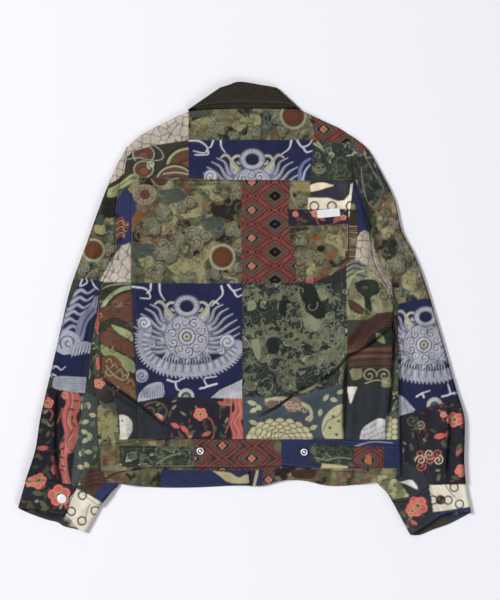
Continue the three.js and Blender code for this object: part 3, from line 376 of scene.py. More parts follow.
def crest(on, x, y, size, tilt=0.0):
    """A scrolled crest: a rosette of curls with flames beside it over a fringed crescent."""
    on.faded(0.82)
    c, s = math.cos(tilt) * size, math.sin(tilt) * size
    turn = np.array([[c, s], [-s, c]])

    def at(points):
        return np.array(points, float) @ turn + [x, y]

    def line(points, width, colour, taper=0.0):
        on.line(at(points), width * size, colour, taper)

    def around(r, angle, heart=(0, -6)):
        return [heart[0] + r * math.cos(angle), heart[1] + r * math.sin(angle)]

    pale, mid, white, navy, horn = "#a6a5ad", "#666779", "#c2c1c4", "#21233b", "#acaa8e"
    for side in (-1, 1):
        for k, (reach, rise) in enumerate(((80, -104), (98, -94), (114, -82), (128, -66), (140, -48),
                (148, -28), (148, -8), (140, 12), (126, 30))):
            root = [side * 44, -46 + 10 * k]
            bend = [side * (46 + reach) / 2, (root[1] + rise) / 2 + 9]
            flame = [root, bend, [side * (reach - 14), rise + 6], [side * (reach + 10), rise - 8]]
            line(flame, 15, mid, 0.8)
            line(flame, 9, pale, 0.8)
            line([[x, y + 2] for x, y in flame], 1.8, navy, 0.5)
        line(swirl(side * 42, -92, 26, 1.2, 1.4, -side), 9, horn, 0.5)
        line([[side * 34, -58], [side * 62, -92], [side * 80, -112], [side * 96, -104]], 10, horn, 0.6)
        line([[side * 34, -58], [side * 62, -92], [side * 80, -112]], 2, mid, 0.6)
    arc = [[-122, -28], [-130, 18], [-112, 58], [-66, 86], [0, 96], [74, 88], [128, 58], [152, 22]]
    line(arc, 40, mid)
    line(arc, 34, "#9596a2")
    path = curve(arc, 12)
    for k in range(2, len(path) - 2, 2):
        away = path[k] - path[k - 1]
        away = np.array([-away[1], away[0]]) / (np.linalg.norm(away) + 1e-9)
        line([path[k] - away * 16, path[k] + away * 4], 2.2, navy if k % 4 else white)
        line([path[k] + away * 13, path[k] + away * 24 + (path[k] - path[k - 1])], 4, pale, 0.7)
    for k in range(17):
        spread_x = (k - 8) * 9
        line([[spread_x * 0.7, 36], [spread_x * 0.95, 56], [spread_x, 76 - abs(spread_x) * 0.12]], 7, pale,
            0.7)
        line([[spread_x * 0.7 + 3, 40], [spread_x * 0.95 + 3, 62]], 1.8, navy, 0.5)
    for k in range(26):
        angle = k * np.pi / 13
        line([around(58, angle), around(76, angle + 0.12)], 8, mid if k % 2 else pale, 0.8)
    on.disc(*at([0, -6]), 68 * size, mid)
    on.disc(*at([0, -6]), 65 * size, pale)
    for k in range(40):
        angle = k * np.pi / 20
        line([around(54, angle), around(64, angle + 0.06)], 1.6, mid)
    for k in range(10):
        angle = k * np.pi / 5 + 0.2
        way = 1 if k % 2 else -1
        line(swirl(*around(44, angle), 15, 1.3, angle, way), 2.6, navy)
        line(swirl(*around(44, angle), 11, 1.1, angle + 0.6, way), 2.2, white)
    for r, colour in ((27, navy), (24, "#b9b8c0"), (15, navy), (11, horn), (4, navy)):
        on.disc(*at([0, -6]), r * size, colour)
    for k in range(16):
        angle = k * np.pi / 8
        line([around(16, angle), around(23, angle)], 1.5, mid)
    for r, colour in ((40, mid), (35, "#a3a5a8"), (22, navy)):
        on.disc(*at([0, -98]), r * size, colour, squash=0.85)
    for k in range(9):
        a = np.pi + k * np.pi / 8
        line([[20 * math.cos(a), -96 + 17 * math.sin(a)], [33 * math.cos(a), -96 + 28 * math.sin(a)]], 2, mid)
    for cx, cy, r, way in ((-128, -46, 22, 1), (-104, 14, 15, -1), (122, 10, 24, 1), (104, 34, 15, -1)):
        on.disc(*at([cx, cy]), r * size, mid)
        on.disc(*at([cx, cy]), (r - 3) * size, "#b7b6bd")
        line(swirl(cx, cy, r - 4, 1.4, 0.5, way), 2.6, navy)


def bloom(on, x, y, r, colour="#b4524a", heart="#8a8a58", petals=5, turn=0.0):
    for k in range(petals):
        angle = turn + k * 2 * np.pi / petals
        cx, cy = x + r * 0.55 * math.cos(angle), y + r * 0.5 * math.sin(angle)
        on.disc(cx, cy, r * 0.47, colour)
        on.disc(cx, cy, r * 0.36, "#cc8f7d", ring=2.2, cover=0.6)
    on.disc(x, y, r * 0.36, heart)
    on.disc(x, y, r * 0.16, "#3a3028")


def peony(on, x, y, wide, deep, cream="#b3ad87", line="#554a3c"):
    """Rows of scalloped petals, the outer ones first."""
    for row in range(5):
        share = 1 - row * 0.2
        count = 9 - row
        for k in range(count):
            angle = np.pi + (k + 0.5) * np.pi / count
            cx, cy = x + wide * share * math.cos(angle) * 0.86, y + deep * share * math.sin(angle) * 0.86
            on.disc(cx, cy, wide * 0.17, line)
            on.disc(cx, cy, wide * 0.145, cream)
            on.line([[cx, cy], [cx * 0.9 + x * 0.1, cy * 0.9 + y * 0.1]], 1.5, line, cover=0.5)


def floral(on, blooms=(), leaves=(), stems=()):
    """Coral flowers, olive and coral leaves and curling stems on near black."""
    pick = np.random.default_rng(len(leaves) + 7)
    low, high = on.outline.min(0), on.outline.max(0)
    for k in range(int((high - low).prod() / 1100)):
        x, y = pick.uniform(low, high)
        tint = ("#3d4031", "#733a37", "#4b4d3a", "#8b8468", "#5a3330")[k % 5]
        leaf(on, x, y, pick.uniform(14, 26), pick.uniform(5, 9), pick.uniform(0, 6), tint, "#2b2a28")
    for points in stems:
        on.line(points, 4.5, "#a5504a", 0.5)
    for x, y, long, angle, colour in leaves:
        leaf(on, x, y, long, long * 0.42, angle, colour, "#3a3c30")
    for x, y, r in blooms:
        bloom(on, x, y, r, turn=x)


def trunk(on, points, width):
    """A gnarled stem in wavy coral lines."""
    points = curve(points, 6)
    on.line(points, width, "#a24e49")
    for k, colour in enumerate(("#b9605a", "#6b4438", "#c07a70", "#7c6a4a", "#b4524a")):
        shift = (k - 2) * width / 5.5
        wavy = points + np.stack([shift + 3 * np.sin(points[:, 1] / 9 + k), 0 * points[:, 1]], -1)
        on.line(wavy, 2.6, colour)


def foliage(on, seed, count, pale="#6a6c58", ground="#262b2b", size=1.0):
    """Curled fronds and leaves in two greens."""
    pick = np.random.default_rng(seed)
    low, high = on.outline.min(0), on.outline.max(0)
    on.lay(on.box, np.clip((lumps(on.x, on.y, 26, seed) - 0.5) * 2.4, 0, 0.9), ground)
    body = lumps(on.x + 16 * lumps(on.x, on.y, 22, seed + 0.9), on.y, 40, seed + 0.2)
    on.lay(on.box, (body > 0.65) * 0.8, pale)
    on.lay(on.box, (np.abs(body - 0.65) < 0.012) * 0.9, "#95967a")
    on.lay(on.box, (body > 0.67) * (np.abs(lumps(on.x, on.y, 13, seed + 0.5) - 0.5) < 0.03) * 0.85, "#20261f")
    scales = np.sin((on.x * 0.7 + on.y * 0.6 + 40 * lumps(on.x, on.y, 28, seed + 0.7)) * 0.75)
    on.lay(on.box, (body > 0.66) * (scales > 0.25) * 0.6, "#2a2f28")
    on.lay(on.box, (body < 0.56) * (scales > 0.72) * 0.35, pale)
    on.lay(on.box, (body < 0.61) * (np.abs(lumps(on.x, on.y, 30, seed + 0.5) - 0.5) < 0.014) * 0.7, pale)
    for _ in range(count):
        x, y = pick.uniform(low, high)
        r, angle, way = pick.uniform(10, 24) * size, pick.uniform(0, 6.3), pick.choice([-1, 1])
        kind = pick.integers(3)
        if kind == 0:
            points = swirl(x, y, r, 1.3, angle, way)
            on.line(points, 5 * size, pale, 0.5)
            on.line(points, 1.6, "#232823", 0.5)
            for k in range(0, 12, 2):
                leaf(on, *points[k], r * 0.5, 5 * size, angle + way * k * 0.45 + 0.9, pale)
        elif kind == 1:
            for k in range(4):
                leaf(on, x, y, r * 1.1, 7 * size, angle + 0.5 * k, pale, "#2f372e")
        else:
            bend = [x + 1.2 * r * math.cos(angle), y + 1.2 * r * math.sin(angle)]
            end = [bend[0] + r * math.cos(angle + way), bend[1] + r * math.sin(angle + way)]
            on.line([[x, y], bend, end], 4 * size, pale, 0.7)
            leaf(on, *bend, r, 8 * size, angle - way, "#57594a", "#232823")


# Collar side of the print: the yoke's patches
on = Patch([[290, 300], [566, 300], [566, 420], [461, 435], [398, 453], [379, 472], [371, 519], [352, 538],
    [322, 554], [290, 570]], "#c3b7a6")
crackle(on)
on = Patch([[566, 420], [461, 435], [398, 453], [379, 472], [371, 519], [352, 538], [322, 554], [322, 610],
    [350, 610], [372, 562], [420, 534], [570, 530]], "#352d27")
for x, y, radii in ((566, 500, (78, 68, 60)), (430, 462, (40, 34, 30)), (430, 507, (38, 31, 27)),
        (524, 545, (66, 58, 52))):
    for r, colour in zip(radii, ("#2b2a24", "#848b6c", "#57382b")):
        on.disc(x, y, r, colour, squash=0.85)
    on.disc(x, y + 6, radii[2] * 0.62, "#3c2c25", squash=0.8)
    on.disc(x, y + 6, radii[2] * 0.5, "#64412f", squash=0.8)
on.line([[461, 435], [484, 453], [489, 472], [476, 480], [440, 478], [412, 472], [379, 478]], 3, "#86887a")
on.line(swirl(453, 494, 13, 1.3, 2.0), 3, "#b7b4a2")
on.shape([[324, 566], [352, 552], [400, 520], [408, 536], [372, 562], [340, 590], [322, 590]], "#8d9064")
on.line([[335, 575], [365, 553], [400, 530]], 2.5, "#4c5138")
on.line([[490, 521], [530, 517], [566, 523]], 3.5, "#8f9a85")
on = Patch([[566, 300], [940, 300], [955, 351], [944, 363], [940, 420], [566, 420]], "#5f6045")
camouflage(on, 0.1, ((644, 384, 34), (762, 400, 24), (700, 408, 18), (838, 352, 26), (846, 392, 20),
    (905, 398, 18)))
on.many("#9d996b", [[570, 367], [609, 351], [648, 353], [628, 368], [601, 379]],
    [[690, 372], [740, 350], [776, 343], [782, 372], [742, 378], [716, 396], [700, 384]])
on.many("#495349", [[567, 326], [640, 326], [636, 343], [600, 350], [570, 349]])
smoke(on, 1)
sun(on, 880, 347, 31)
on = Patch([[566, 420], [940, 420], [932, 542], [566, 542]], "#222644")
crest(on, 757, 574, 0.98)
bolt(on, [[566, 421], [600, 424], [622, 444], [614, 458], [580, 452]], [[640, 420], [632, 440], [622, 444]],
    [[624, 452], [624, 462], [584, 464]], [[662, 420], [664, 440], [676, 458]],
    [[874, 422], [868, 444], [846, 462]], [[892, 422], [906, 440], [926, 434], [938, 418]],
    [[908, 440], [920, 456], [936, 452]])
on.line([[900, 540], [900, 512], [912, 488], [930, 476]], 12, "#6a7097", 0.5)
on.line([[908, 540], [916, 512], [930, 494]], 7, "#a4a6b8", 0.5)
on = Patch([[945, 340], [994, 363], [1064, 414], [1029, 429], [940, 420]], "#241d20")
meander(on, 971, 387, 70, 42)
on = Patch([[940, 420], [1029, 429], [1064, 414], [1110, 460], [1090, 560], [932, 542]], "#28302b")
foliage(on, 4, 16, "#4e513f")
on.disc(958, 505, 22, "#565a42", squash=0.8)
on.line([[938, 492], [958, 504], [986, 490]], 5, "#262b26")
on.line(swirl(958, 505, 16, 1.3), 3, "#7c7f62", cover=0.7)
bolt(on, [[942, 430], [962, 444], [972, 452]], [[952, 426], [966, 440]], colour="#8e936c")

# Top of the back
on = Patch([[393, 528], [725, 540], [725, 850], [393, 848], [393, 659], [410, 628], [398, 589], [383, 566],
    [400, 540]], "#5d5e44")
camouflage(on, 0.9, ((552, 605, 34), (453, 679, 32), (594, 710, 42), (500, 752, 40), (538, 722, 26),
    (718, 752, 20), (465, 815, 36), (562, 832, 26), (640, 820, 24), (700, 800, 26), (700, 690, 26),
    (640, 560, 22), (708, 584, 22), (490, 640, 26)))
on.many("#9f9b6c", [[593, 558], [621, 554], [644, 554], [636, 574], [660, 589], [671, 597], [640, 603],
    [621, 581]], [[414, 776], [453, 769], [460, 792], [430, 804]], [[500, 800], [554, 780], [572, 804],
    [531, 825]], [[576, 628], [606, 620], [600, 646], [566, 650]])
on.many("#82582f", [[410, 628], [430, 640], [426, 659], [398, 678], [392, 655]])
on.many("#8a7050", [[605, 601], [636, 609], [632, 632], [609, 624]],
    [[420, 715], [432, 708], [440, 724], [424, 728]])
on.many("#4f5950", [[601, 662], [656, 644], [668, 667], [648, 687], [609, 683]],
    [[396, 736], [460, 733], [453, 765], [398, 772]], [[480, 570], [540, 566], [560, 590], [510, 612],
    [480, 600]])
on.many("#2f2d28", [[634, 609], [664, 617], [683, 597], [703, 601], [718, 620], [726, 632], [699, 645],
    [703, 660], [676, 667], [671, 648], [648, 652], [634, 634]], [[398, 690], [420, 700], [414, 728],
    [398, 720]])
smoke(on, 2)
sun(on, 667, 771, 30)
on.disc(434, 583, 36, "#a3957c", squash=0.85)
for k in range(9):
    on.line(swirl(434 + 24 * math.cos(k * 0.7), 583 + 20 * math.sin(k * 0.7), 12, 1.2, k), 2.2, "#6c5140")
on.disc(434, 583, 15, "#67443a")
on.shape([[458, 534], [484, 530], [500, 545], [488, 556], [466, 550]], "#5d3a2b")
on.line([[452, 536], [470, 556], [496, 558], [512, 540], [540, 532]], 3, "#a7a386")
on = Patch([[725, 540], [872, 540], [882, 640], [868, 700], [884, 760], [893, 850], [725, 850]], "#221d20")
meander(on, 755, 546, 70, 42)
on = Patch([[872, 540], [932, 542], [932, 628], [866, 640]], "#54573d")
camouflage(on, 2.3, ((905, 600, 20),))
on.shape([[886, 548], [925, 544], [930, 570], [900, 572]], "#a08f5e")
on.line([[880, 560], [876, 590], [890, 620], [904, 640]], 3, "#a39a6c")
on.disc(888, 634, 11, "#a9503f")
on = Patch([[932, 542], [1057, 542], [1057, 600], [932, 600]], "#2f2e37")
on.shape([[926, 556], [963, 546], [990, 552], [1002, 556], [979, 563], [950, 572], [926, 572]], "#cdbf9f")
on = Patch([[926, 592], [985, 593], [1016, 603], [1034, 600], [1048, 582], [1052, 552], [1060, 548],
    [1058, 675], [1048, 675], [1046, 626], [924, 628]], "#d0c4ad")
for x in (943, 996, 1052):
    on.disc(x, 618, 13, "#2b2b2c", ring=4.5)
on = Patch([[865, 628], [1046, 626], [1046, 672], [865, 680]], "#242229")
floral(on, ((886, 642, 9), (946, 640, 12), (1030, 652, 9)), ((956, 650, 24, 0.5, "#a5504a"),
    (1000, 662, 26, -0.6, "#a5504a"), (900, 660, 24, 0.2, "#4b4d38")),
    ([[930, 634], [946, 650], [956, 672]], [[1040, 650], [1020, 660], [1000, 668]]))
on = Patch([[866, 679], [1045, 671], [1044, 790], [994, 831], [924, 850], [893, 850], [884, 760]], "#6a6447")
camouflage(on, 3.1, ((940, 776, 32), (905, 720, 20), (1015, 770, 24), (900, 830, 16)))
on.many("#a8a06e", [[971, 726], [986, 700], [1002, 706], [1026, 706], [1022, 749], [1002, 737]],
    [[1012, 742], [1040, 748], [1030, 772]], [[925, 790], [945, 792], [938, 822], [918, 818]])
on.many("#8c5f3c", [[924, 704], [959, 700], [964, 718], [932, 724]],
    [[980, 755], [1012, 752], [1008, 775], [984, 778]])
on.many("#30332c", [[866, 684], [930, 682], [900, 694], [868, 700]])
smoke(on, 3)
on = Patch([[893, 850], [924, 838], [994, 826], [1044, 780], [1060, 790], [1040, 850]], "#292a27")
for k in range(12):
    on.line([[950 + k * 8, 842 - k * 4], [962 + k * 8, 812 - k * 3]], 3.5, "#8b3a36")
on.disc(930, 842, 13, "#8f4039")
on = Patch([[1045, 675], [1060, 548], [1072, 560], [1078, 690], [1072, 800], [1043, 800]], "#2c2723")
for k in range(34):
    on.line([[1048, 678 + k * 6], [1072, 680 + k * 6]], 2, ("#9a8b72", "#84453a", "#6f7050")[k % 3])
for y in (620, 722):
    on.disc(1060, y, 9, "#6b7048")
on = Patch([[1058, 560], [1076, 560], [1103, 628], [1111, 679], [1107, 700], [1078, 700]], "#282d4e")
on.faded(0.8)
on = Patch([[1080, 697], [1095, 690], [1115, 698], [1127, 753], [1175, 851], [1180, 900], [1064, 800],
    [1072, 714]], "#b5a993")
crackle(on, 26)
on = Patch([[1040, 792], [1064, 776], [1110, 800], [1150, 851], [1186, 905], [1190, 960], [1040, 960]],
    "#77785a")
on.faded(0.78)
on.noise(44, 5.1, 0.56, 1, "#918f6e")
on.many("#2b312b", [[1064, 849], [1096, 838], [1130, 843], [1138, 876], [1114, 893], [1116, 937], [1097, 944],
    [1092, 893], [1072, 872]])
on.many("#4b3328", [[1044, 895], [1066, 905], [1094, 930], [1085, 944], [1050, 925]])
for y in (792, 806, 822):
    on.line([[1040, y + 10], [1062, y - 2], [1096, y + 8]], 5, "#343b61")
on.line([[1046, 856], [1062, 824], [1100, 812], [1150, 850]], 4, "#a6a67f")
smoke(on, 4)

# Left side of the body
on = Patch([[348, 737], [344, 636], [352, 597], [363, 574], [383, 566], [398, 589], [410, 628], [394, 659],
    [393, 726], [370, 735]], "#2a3154")
on.faded(0.85)
on = Patch([[344, 636], [366, 652], [388, 672], [372, 714], [350, 735]], "#1f1d25")
for k in range(7):
    on.line([[346, 664 + k * 9], [364, 652 + k * 9], [376, 668 + k * 9], [390, 650 + k * 9]], 2.4,
        ("#a6453f", "#a4946f")[k % 2])
on = Patch([[393, 726], [393, 850], [309, 852], [298, 842], [336, 776], [363, 737]], "#c0b4a2")
crackle(on, 28)
on = Patch([[296, 846], [393, 847], [411, 1206], [340, 1176], [300, 1130]], "#332b25")
bands = (([[300, 925], [345, 912], [396, 922], [398, 980], [350, 952], [300, 968]], "#57382c"),
    ([[300, 968], [345, 955], [398, 985], [398, 1010], [345, 975], [300, 995]], "#2b3028"),
    ([[330, 970], [396, 998], [398, 1026], [345, 992]], "#848a60"),
    ([[302, 990], [340, 997], [400, 1032], [402, 1075], [345, 1045], [302, 1032]], "#593a2d"),
    ([[302, 1030], [345, 1052], [404, 1088], [404, 1120], [360, 1098], [302, 1056]], "#767c54"),
    ([[304, 1070], [340, 1068], [384, 1118], [410, 1152], [411, 1204], [384, 1186], [338, 1152], [308, 1118]],
    "#5b3b2c"))
for r, colour in ((112, "#2c302a"), (102, "#858b6c"), (90, "#2b2822"), (82, "#5a3a2c"), (60, "#44301f"),
        (54, "#63402f")):
    on.disc(398, 958, r, colour)
for points, colour in bands:
    on.shape(points, colour)
    on.line(points + points[:1], 2, "#211e1b")
for k in range(5):
    on.line([[306, 940 + k * 9], [348, 928 + k * 9], [397, 944 + k * 10]], 1.6, "#3c2a22")
    on.line([[318 + k * 16, 1086 + k * 16], [330 + k * 16, 1076 + k * 16], [338 + k * 16, 1096 + k * 15]],
        2.4, "#8d8764")
on.line([[318, 1096], [340, 1122], [372, 1140], [386, 1122], [366, 1094]], 3, "#8d9168")
smoke(on, 5, 620)
on.line([[300, 870], [330, 856], [396, 850]], 3.5, "#7d8465")

# Middle of the back
on = Patch([[393, 849], [727, 850], [727, 1197], [497, 1190], [411, 1206]], "#202443")
crest(on, 560, 1016, 1.0)
bolt(on, [[396, 860], [438, 868], [450, 894], [420, 894]], [[452, 852], [450, 872], [440, 880]],
    [[478, 852], [480, 878], [494, 902]], [[664, 858], [668, 882], [650, 902], [636, 918]],
    [[684, 854], [700, 872], [722, 866]], [[700, 872], [712, 890], [726, 884]],
    [[502, 1140], [526, 1146], [556, 1132]], [[526, 1146], [530, 1166], [546, 1176]],
    [[600, 1166], [620, 1160], [612, 1138], [650, 1130]], [[620, 1160], [650, 1152]])
on.shape([[628, 1198], [660, 1170], [700, 1152], [728, 1138], [728, 1198]], "#b2b2b4", soft=False)
for k in range(8):
    on.line([[640 + k * 12, 1194 - k * 3], [664 + k * 11, 1172 - k * 5]], 1.6, "#6c707e")
on.shape([[411, 1206], [420, 1178], [446, 1154], [484, 1148], [492, 1170], [488, 1192]], "#a0a1ad")
for k in range(9):
    on.line([[424 + k * 8, 1196 - k], [430 + k * 7, 1168 - k * 2]], 1.8, "#363a59")
on.disc(424, 1128, 20, "#9698ab")
on.line(swirl(424, 1128, 16, 1.4), 2.6, "#282c4d")
on.disc(558, 1190, 24, "#b3b3ac")
on.disc(558, 1192, 16, "#444a58")
on.disc(558, 1193, 9, "#8f8f7c")
on = Patch([[727, 848], [893, 850], [1040, 846], [1042, 1047], [1031, 1151], [899, 1187], [729, 1190]],
    "#202626")
on.faded(0.92)
foliage(on, 12, 60)
for points in ([[760, 870], [800, 900], [850, 880], [900, 905], [960, 880], [1020, 900]],
        [[740, 1000], [790, 985], [830, 1010], [880, 990], [930, 1030], [990, 1000], [1035, 1020]],
        [[870, 860], [905, 905], [918, 950], [962, 972], [988, 960]],
        [[790, 1080], [840, 1070], [900, 1100], [950, 1086], [1010, 1040]]):
    on.line(points, 6, "#74775b")
    on.line(points, 2, "#262b26")
    for k, (x, y) in enumerate(curve(points, 5)):
        leaf(on, x, y, 24, 9, k * 0.9, "#6f7257", "#2a2f29")
on.many("#7b7e62", [[908, 960], [940, 944], [962, 962], [952, 992], [920, 990]],
    [[942, 872], [970, 866], [984, 892], [958, 902]], [[742, 905], [762, 900], [768, 924], [744, 932]],
    [[752, 1020], [776, 1016], [778, 1084], [762, 1060]])
on.many("#1f2522", [[898, 852], [940, 856], [962, 900], [980, 930], [960, 958], [926, 938], [906, 900]],
    [[800, 1016], [830, 1012], [836, 1056], [806, 1060]], [[838, 900], [860, 905], [856, 950], [838, 940]])
on.line([[896, 862], [900, 905], [922, 944], [960, 966], [982, 948]], 4, "#7b7e62")
on.line(swirl(850, 1140, 28, 1.5, 1.2, -1), 9, "#62654c", 0.4)
on.line(swirl(850, 1140, 28, 1.5, 1.2, -1), 2.5, "#252b26", 0.4)
on.line([[872, 1160], [900, 1176], [940, 1160], [960, 1140]], 10, "#73765a", 0.3)
for k in range(22):
    leaf(on, 770 + k * 11.4, 1000 + 26 * math.sin(k * 0.8), 17, 7, 1.2 + k * 0.5, "#686b52")
pick = np.random.default_rng(5)
for _ in range(70):
    x, y = pick.uniform((735, 855), (1030, 1180))
    bend = swirl(x, y, pick.uniform(8, 22), pick.uniform(0.3, 0.9), pick.uniform(0, 6), pick.choice([-1, 1]))
    on.line(bend, 6, "#1f2525", 0.5, cover=0.8)
    on.line(bend, 2, "#9a9b7c", 0.5, cover=0.8)

# Right side of the body
on = Patch([[1042, 1047], [1046, 1010], [1075, 975], [1130, 940], [1180, 934], [1190, 1000], [1176, 1045]],
    "#4d342b")
on.faded(0.72)
on.many("#262d26", [[1108, 1003], [1169, 978], [1176, 1034], [1097, 1038]])
on.many("#7b8058", [[1126, 998], [1146, 1004], [1154, 1030], [1132, 1022]])
for k in range(5):
    on.line([[1060 + k * 6, 1010 + k * 6], [1110, 962 + k * 8], [1184, 944 + k * 9]], 2, "#2b2220")
on = Patch([[1042, 1047], [1176, 1038], [1178, 1110], [1040, 1106]], "#55392f")
on.faded(0.72)
for k, colour in enumerate(("#6a4538", "#3c2b26", "#6b4538", "#3b3430", "#4c3a32", "#34332e")):
    on.line([[1040, 1054 + k * 10], [1110, 1048 + k * 10], [1178, 1048 + k * 10]], 6, colour)
on = Patch([[1036, 1106], [1178, 1104], [1178, 1164], [1030, 1166]], "#2d302b")
on.faded(0.8)
on.many("#79795a", [[1048, 1112], [1078, 1096], [1086, 1130], [1060, 1140]],
    [[1150, 1130], [1178, 1136], [1176, 1164], [1144, 1158]])
for side in (-1, 1):
    on.line(swirl(1130 + side * 22, 1126, 21, 1.4, 1.5 + side * 1.5, side), 7, "#4a3f33")
    on.line(swirl(1130 + side * 22, 1126, 23, 1.4, 1.5 + side * 1.5, side), 2.6, "#a69d81")
on.line([[1096, 1150], [1130, 1140], [1168, 1150]], 3, "#a69d81")
on = Patch([[1030, 1160], [1178, 1162], [1160, 1330], [1029, 1330]], "#2e3236")
on.faded(0.78)
on.shape([[1041, 1152], [1071, 1156], [1063, 1184], [1052, 1211], [1045, 1184]], "#cfcabf")
on.shape([[1078, 1330], [1086, 1289], [1110, 1268], [1141, 1254], [1160, 1266], [1154, 1330]], "#bfbdb9")
for k in range(26):
    x, y = 1086 + (k * 23) % 66, 1272 + (k * 37) % 48
    on.line([[x, y], [x + 6, y + 4]], 2, "#3b3d42")
on = Patch([[1158, 1240], [1200, 1226], [1200, 1330], [1154, 1330]], "#454c4d")
for k in range(9):
    on.disc(1166 + (k * 17) % 34, 1256 + k * 8, 9, "#a8a37f")
    on.disc(1166 + (k * 17) % 34, 1256 + k * 8, 9, "#4c473c", ring=1.6)
on = Patch([[1174, 950], [1206, 940], [1206, 1060], [1176, 1060]], "#241f1d")
on.line([[1182, 950], [1192, 1000], [1188, 1056]], 5, "#4a3830")
on = Patch([[1174, 1058], [1206, 1054], [1206, 1232], [1178, 1240]], "#24272a")
foliage(on, 8, 9, "#4c513f")

# Foot of the back
on = Patch([[291, 1190], [340, 1160], [347, 1206], [355, 1278], [368, 1440], [300, 1445], [294, 1316]],
    "#76754e")
camouflage(on, 4.4)
for k in range(8):
    leaf(on, 322, 1280, 46, 17, k * 0.785 + 0.3, "#9c9966", "#5a5c38")
on.many("#3a352b", [[294, 1178], [336, 1168], [338, 1196], [306, 1206]],
    [[310, 1328], [352, 1320], [350, 1342], [318, 1352]])
on = Patch([[340, 1170], [411, 1206], [498, 1190], [500, 1325], [360, 1330], [355, 1278], [347, 1206]],
    "#2c2f33")
on.faded(0.8)
on.shape([[357, 1244], [376, 1246], [394, 1262], [397, 1289], [384, 1314], [370, 1330], [362, 1330],
    [360, 1289]], "#d3cdc1")
for k in range(10):
    on.line([[378 + (k % 3), 1256 + k * 6], [396, 1260 + k * 5]], 1.6, "#4a4b50")
on.disc(368, 1262, 3, "#3a3b40")
on = Patch([[411, 1206], [498, 1190], [727, 1196], [729, 1330], [497, 1330], [498, 1278]], "#222129")
floral(on, ((601, 1243, 21), (480, 1256, 12)), ((566, 1300, 34, -2.4, "#b4574c"),
    (606, 1306, 30, -0.3, "#a5504a"), (586, 1292, 26, 2.6, "#4e5038"), (540, 1284, 32, -2.7, "#b4574c"),
    (640, 1300, 24, -1.2, "#4e5038"), (520, 1316, 30, 0.1, "#4e5038"), (652, 1206, 30, 0.4, "#a5504a"),
    (512, 1230, 24, 1.8, "#46442f")), ([[586, 1220], [600, 1240], [634, 1262], [642, 1300], [632, 1326]],
    [[694, 1210], [690, 1260], [676, 1300]], [[560, 1298], [570, 1316], [566, 1330]]))
trunk(on, [[716, 1196], [722, 1230], [706, 1262], [714, 1300], [712, 1330]], 34)
on.disc(684, 1204, 12, "#6b5a40")
on.disc(684, 1204, 12, "#b4574c", ring=4)
on.line(swirl(452, 1236, 22, 1.5, 0.4), 5, "#5c4436")
on.line(swirl(470, 1252, 14, 1.4, 2.0, -1), 4, "#a68f7c")
on.line([[430, 1222], [444, 1210], [476, 1208], [500, 1230], [488, 1262]], 5, "#54493a")
on = Patch([[729, 1190], [899, 1187], [1031, 1151], [1031, 1330], [729, 1330]], "#3e474c")
on.faded(0.88)
peony(on, 839, 1322, 100, 62)
on.many("#a8a37e", [[984, 1330], [966, 1296], [972, 1256], [1000, 1224], [1032, 1214], [1032, 1330]])
for x, y in ((990, 1284), (1016, 1264), (1010, 1304), (1000, 1250)):
    on.disc(x, y, 4.5, "#4d4a3e")
on.line([[968, 1296], [985, 1262], [1012, 1250], [1031, 1230]], 2.5, "#4d4a3e")
for k, (x, y, long, angle) in enumerate(((740, 1204, 34, 0.3), (748, 1238, 30, -0.5), (770, 1214, 24, 0.9),
        (746, 1262, 30, 0.4), (970, 1204, 26, -0.9), (990, 1196, 24, 0.3), (964, 1226, 24, 1.8),
        (1010, 1180, 26, -0.3), (928, 1290, 28, -0.5), (926, 1268, 26, -1.1), (744, 1296, 26, 0.5))):
    leaf(on, x, y, long, 13, angle, "#a7a37f", "#54513f")
on.line([[800, 1200], [850, 1196], [890, 1206], [926, 1222], [934, 1246], [920, 1258]], 12, "#a59c7c", 0.3)
on.many("#7a5f53", [[850, 1200], [880, 1190], [904, 1204], [896, 1232], [870, 1236], [854, 1220]],
    [[790, 1210], [820, 1200], [840, 1216], [814, 1226]])
for k in range(4):
    on.line(swirl(846 + k * 22, 1204 + k * 9, 13, 1.3, k), 2.4, "#b5ab8b")

# Waistband and the foot of the fronts' insides
on = Patch([[285, 1318], [600, 1318], [600, 1415], [285, 1440]], "#6a6647")
camouflage(on, 5.2)
on = Patch([[585, 1318], [846, 1318], [846, 1415], [585, 1415]], "#241d20")
meander(on, 667, 1337, 88, 38, True)
on.shape([[822, 1330], [846, 1326], [846, 1352], [826, 1352]], "#6f7248")
on = Patch([[845, 1318], [1210, 1318], [1210, 1420], [845, 1412]], "#282e4f")
on.faded(0.8)
on.many("#b9aa83", [[966, 1388], [1000, 1380], [1040, 1392], [1042, 1412], [964, 1412]])
on.line([[1062, 1340], [1110, 1326], [1176, 1328]], 5, "#878fa1", 0.6)
on = Patch([[360, 1336], [576, 1340], [576, 1396], [360, 1400]], "#272f28")
foliage(on, 41, 10, "#5a5f4a")
on.line([[470, 1392], [500, 1372], [540, 1360], [572, 1358]], 4, "#6f7458")
on = Patch([[930, 1332], [1064, 1338], [1064, 1400], [930, 1386]], "#27302a")
foliage(on, 43, 6, "#5a5f4a")
on.line([[944, 1372], [980, 1380], [1016, 1372], [1052, 1376]], 4, "#6f7458")
on = Patch([[1062, 1338], [1152, 1342], [1152, 1404], [1062, 1400]], "#241d20")
meander(on, 1103, 1380, 90, 60, True)
on.shape([[1094, 1388], [1098, 1366], [1106, 1360], [1114, 1376], [1112, 1392]], "#b96f45")
on = Patch([[300, 1412], [483, 1412], [483, 1480], [300, 1480]], "#5e5c42")
camouflage(on, 6.1)
on = Patch([[483, 1412], [790, 1412], [790, 1480], [483, 1480]], "#2a3052")
on.faded(0.75)
on.shape([[636, 1414], [690, 1420], [716, 1434], [744, 1424], [752, 1446], [712, 1452], [680, 1446],
    [660, 1430]], "#b7a77e")
on.line([[748, 1414], [752, 1460]], 7, "#121217")
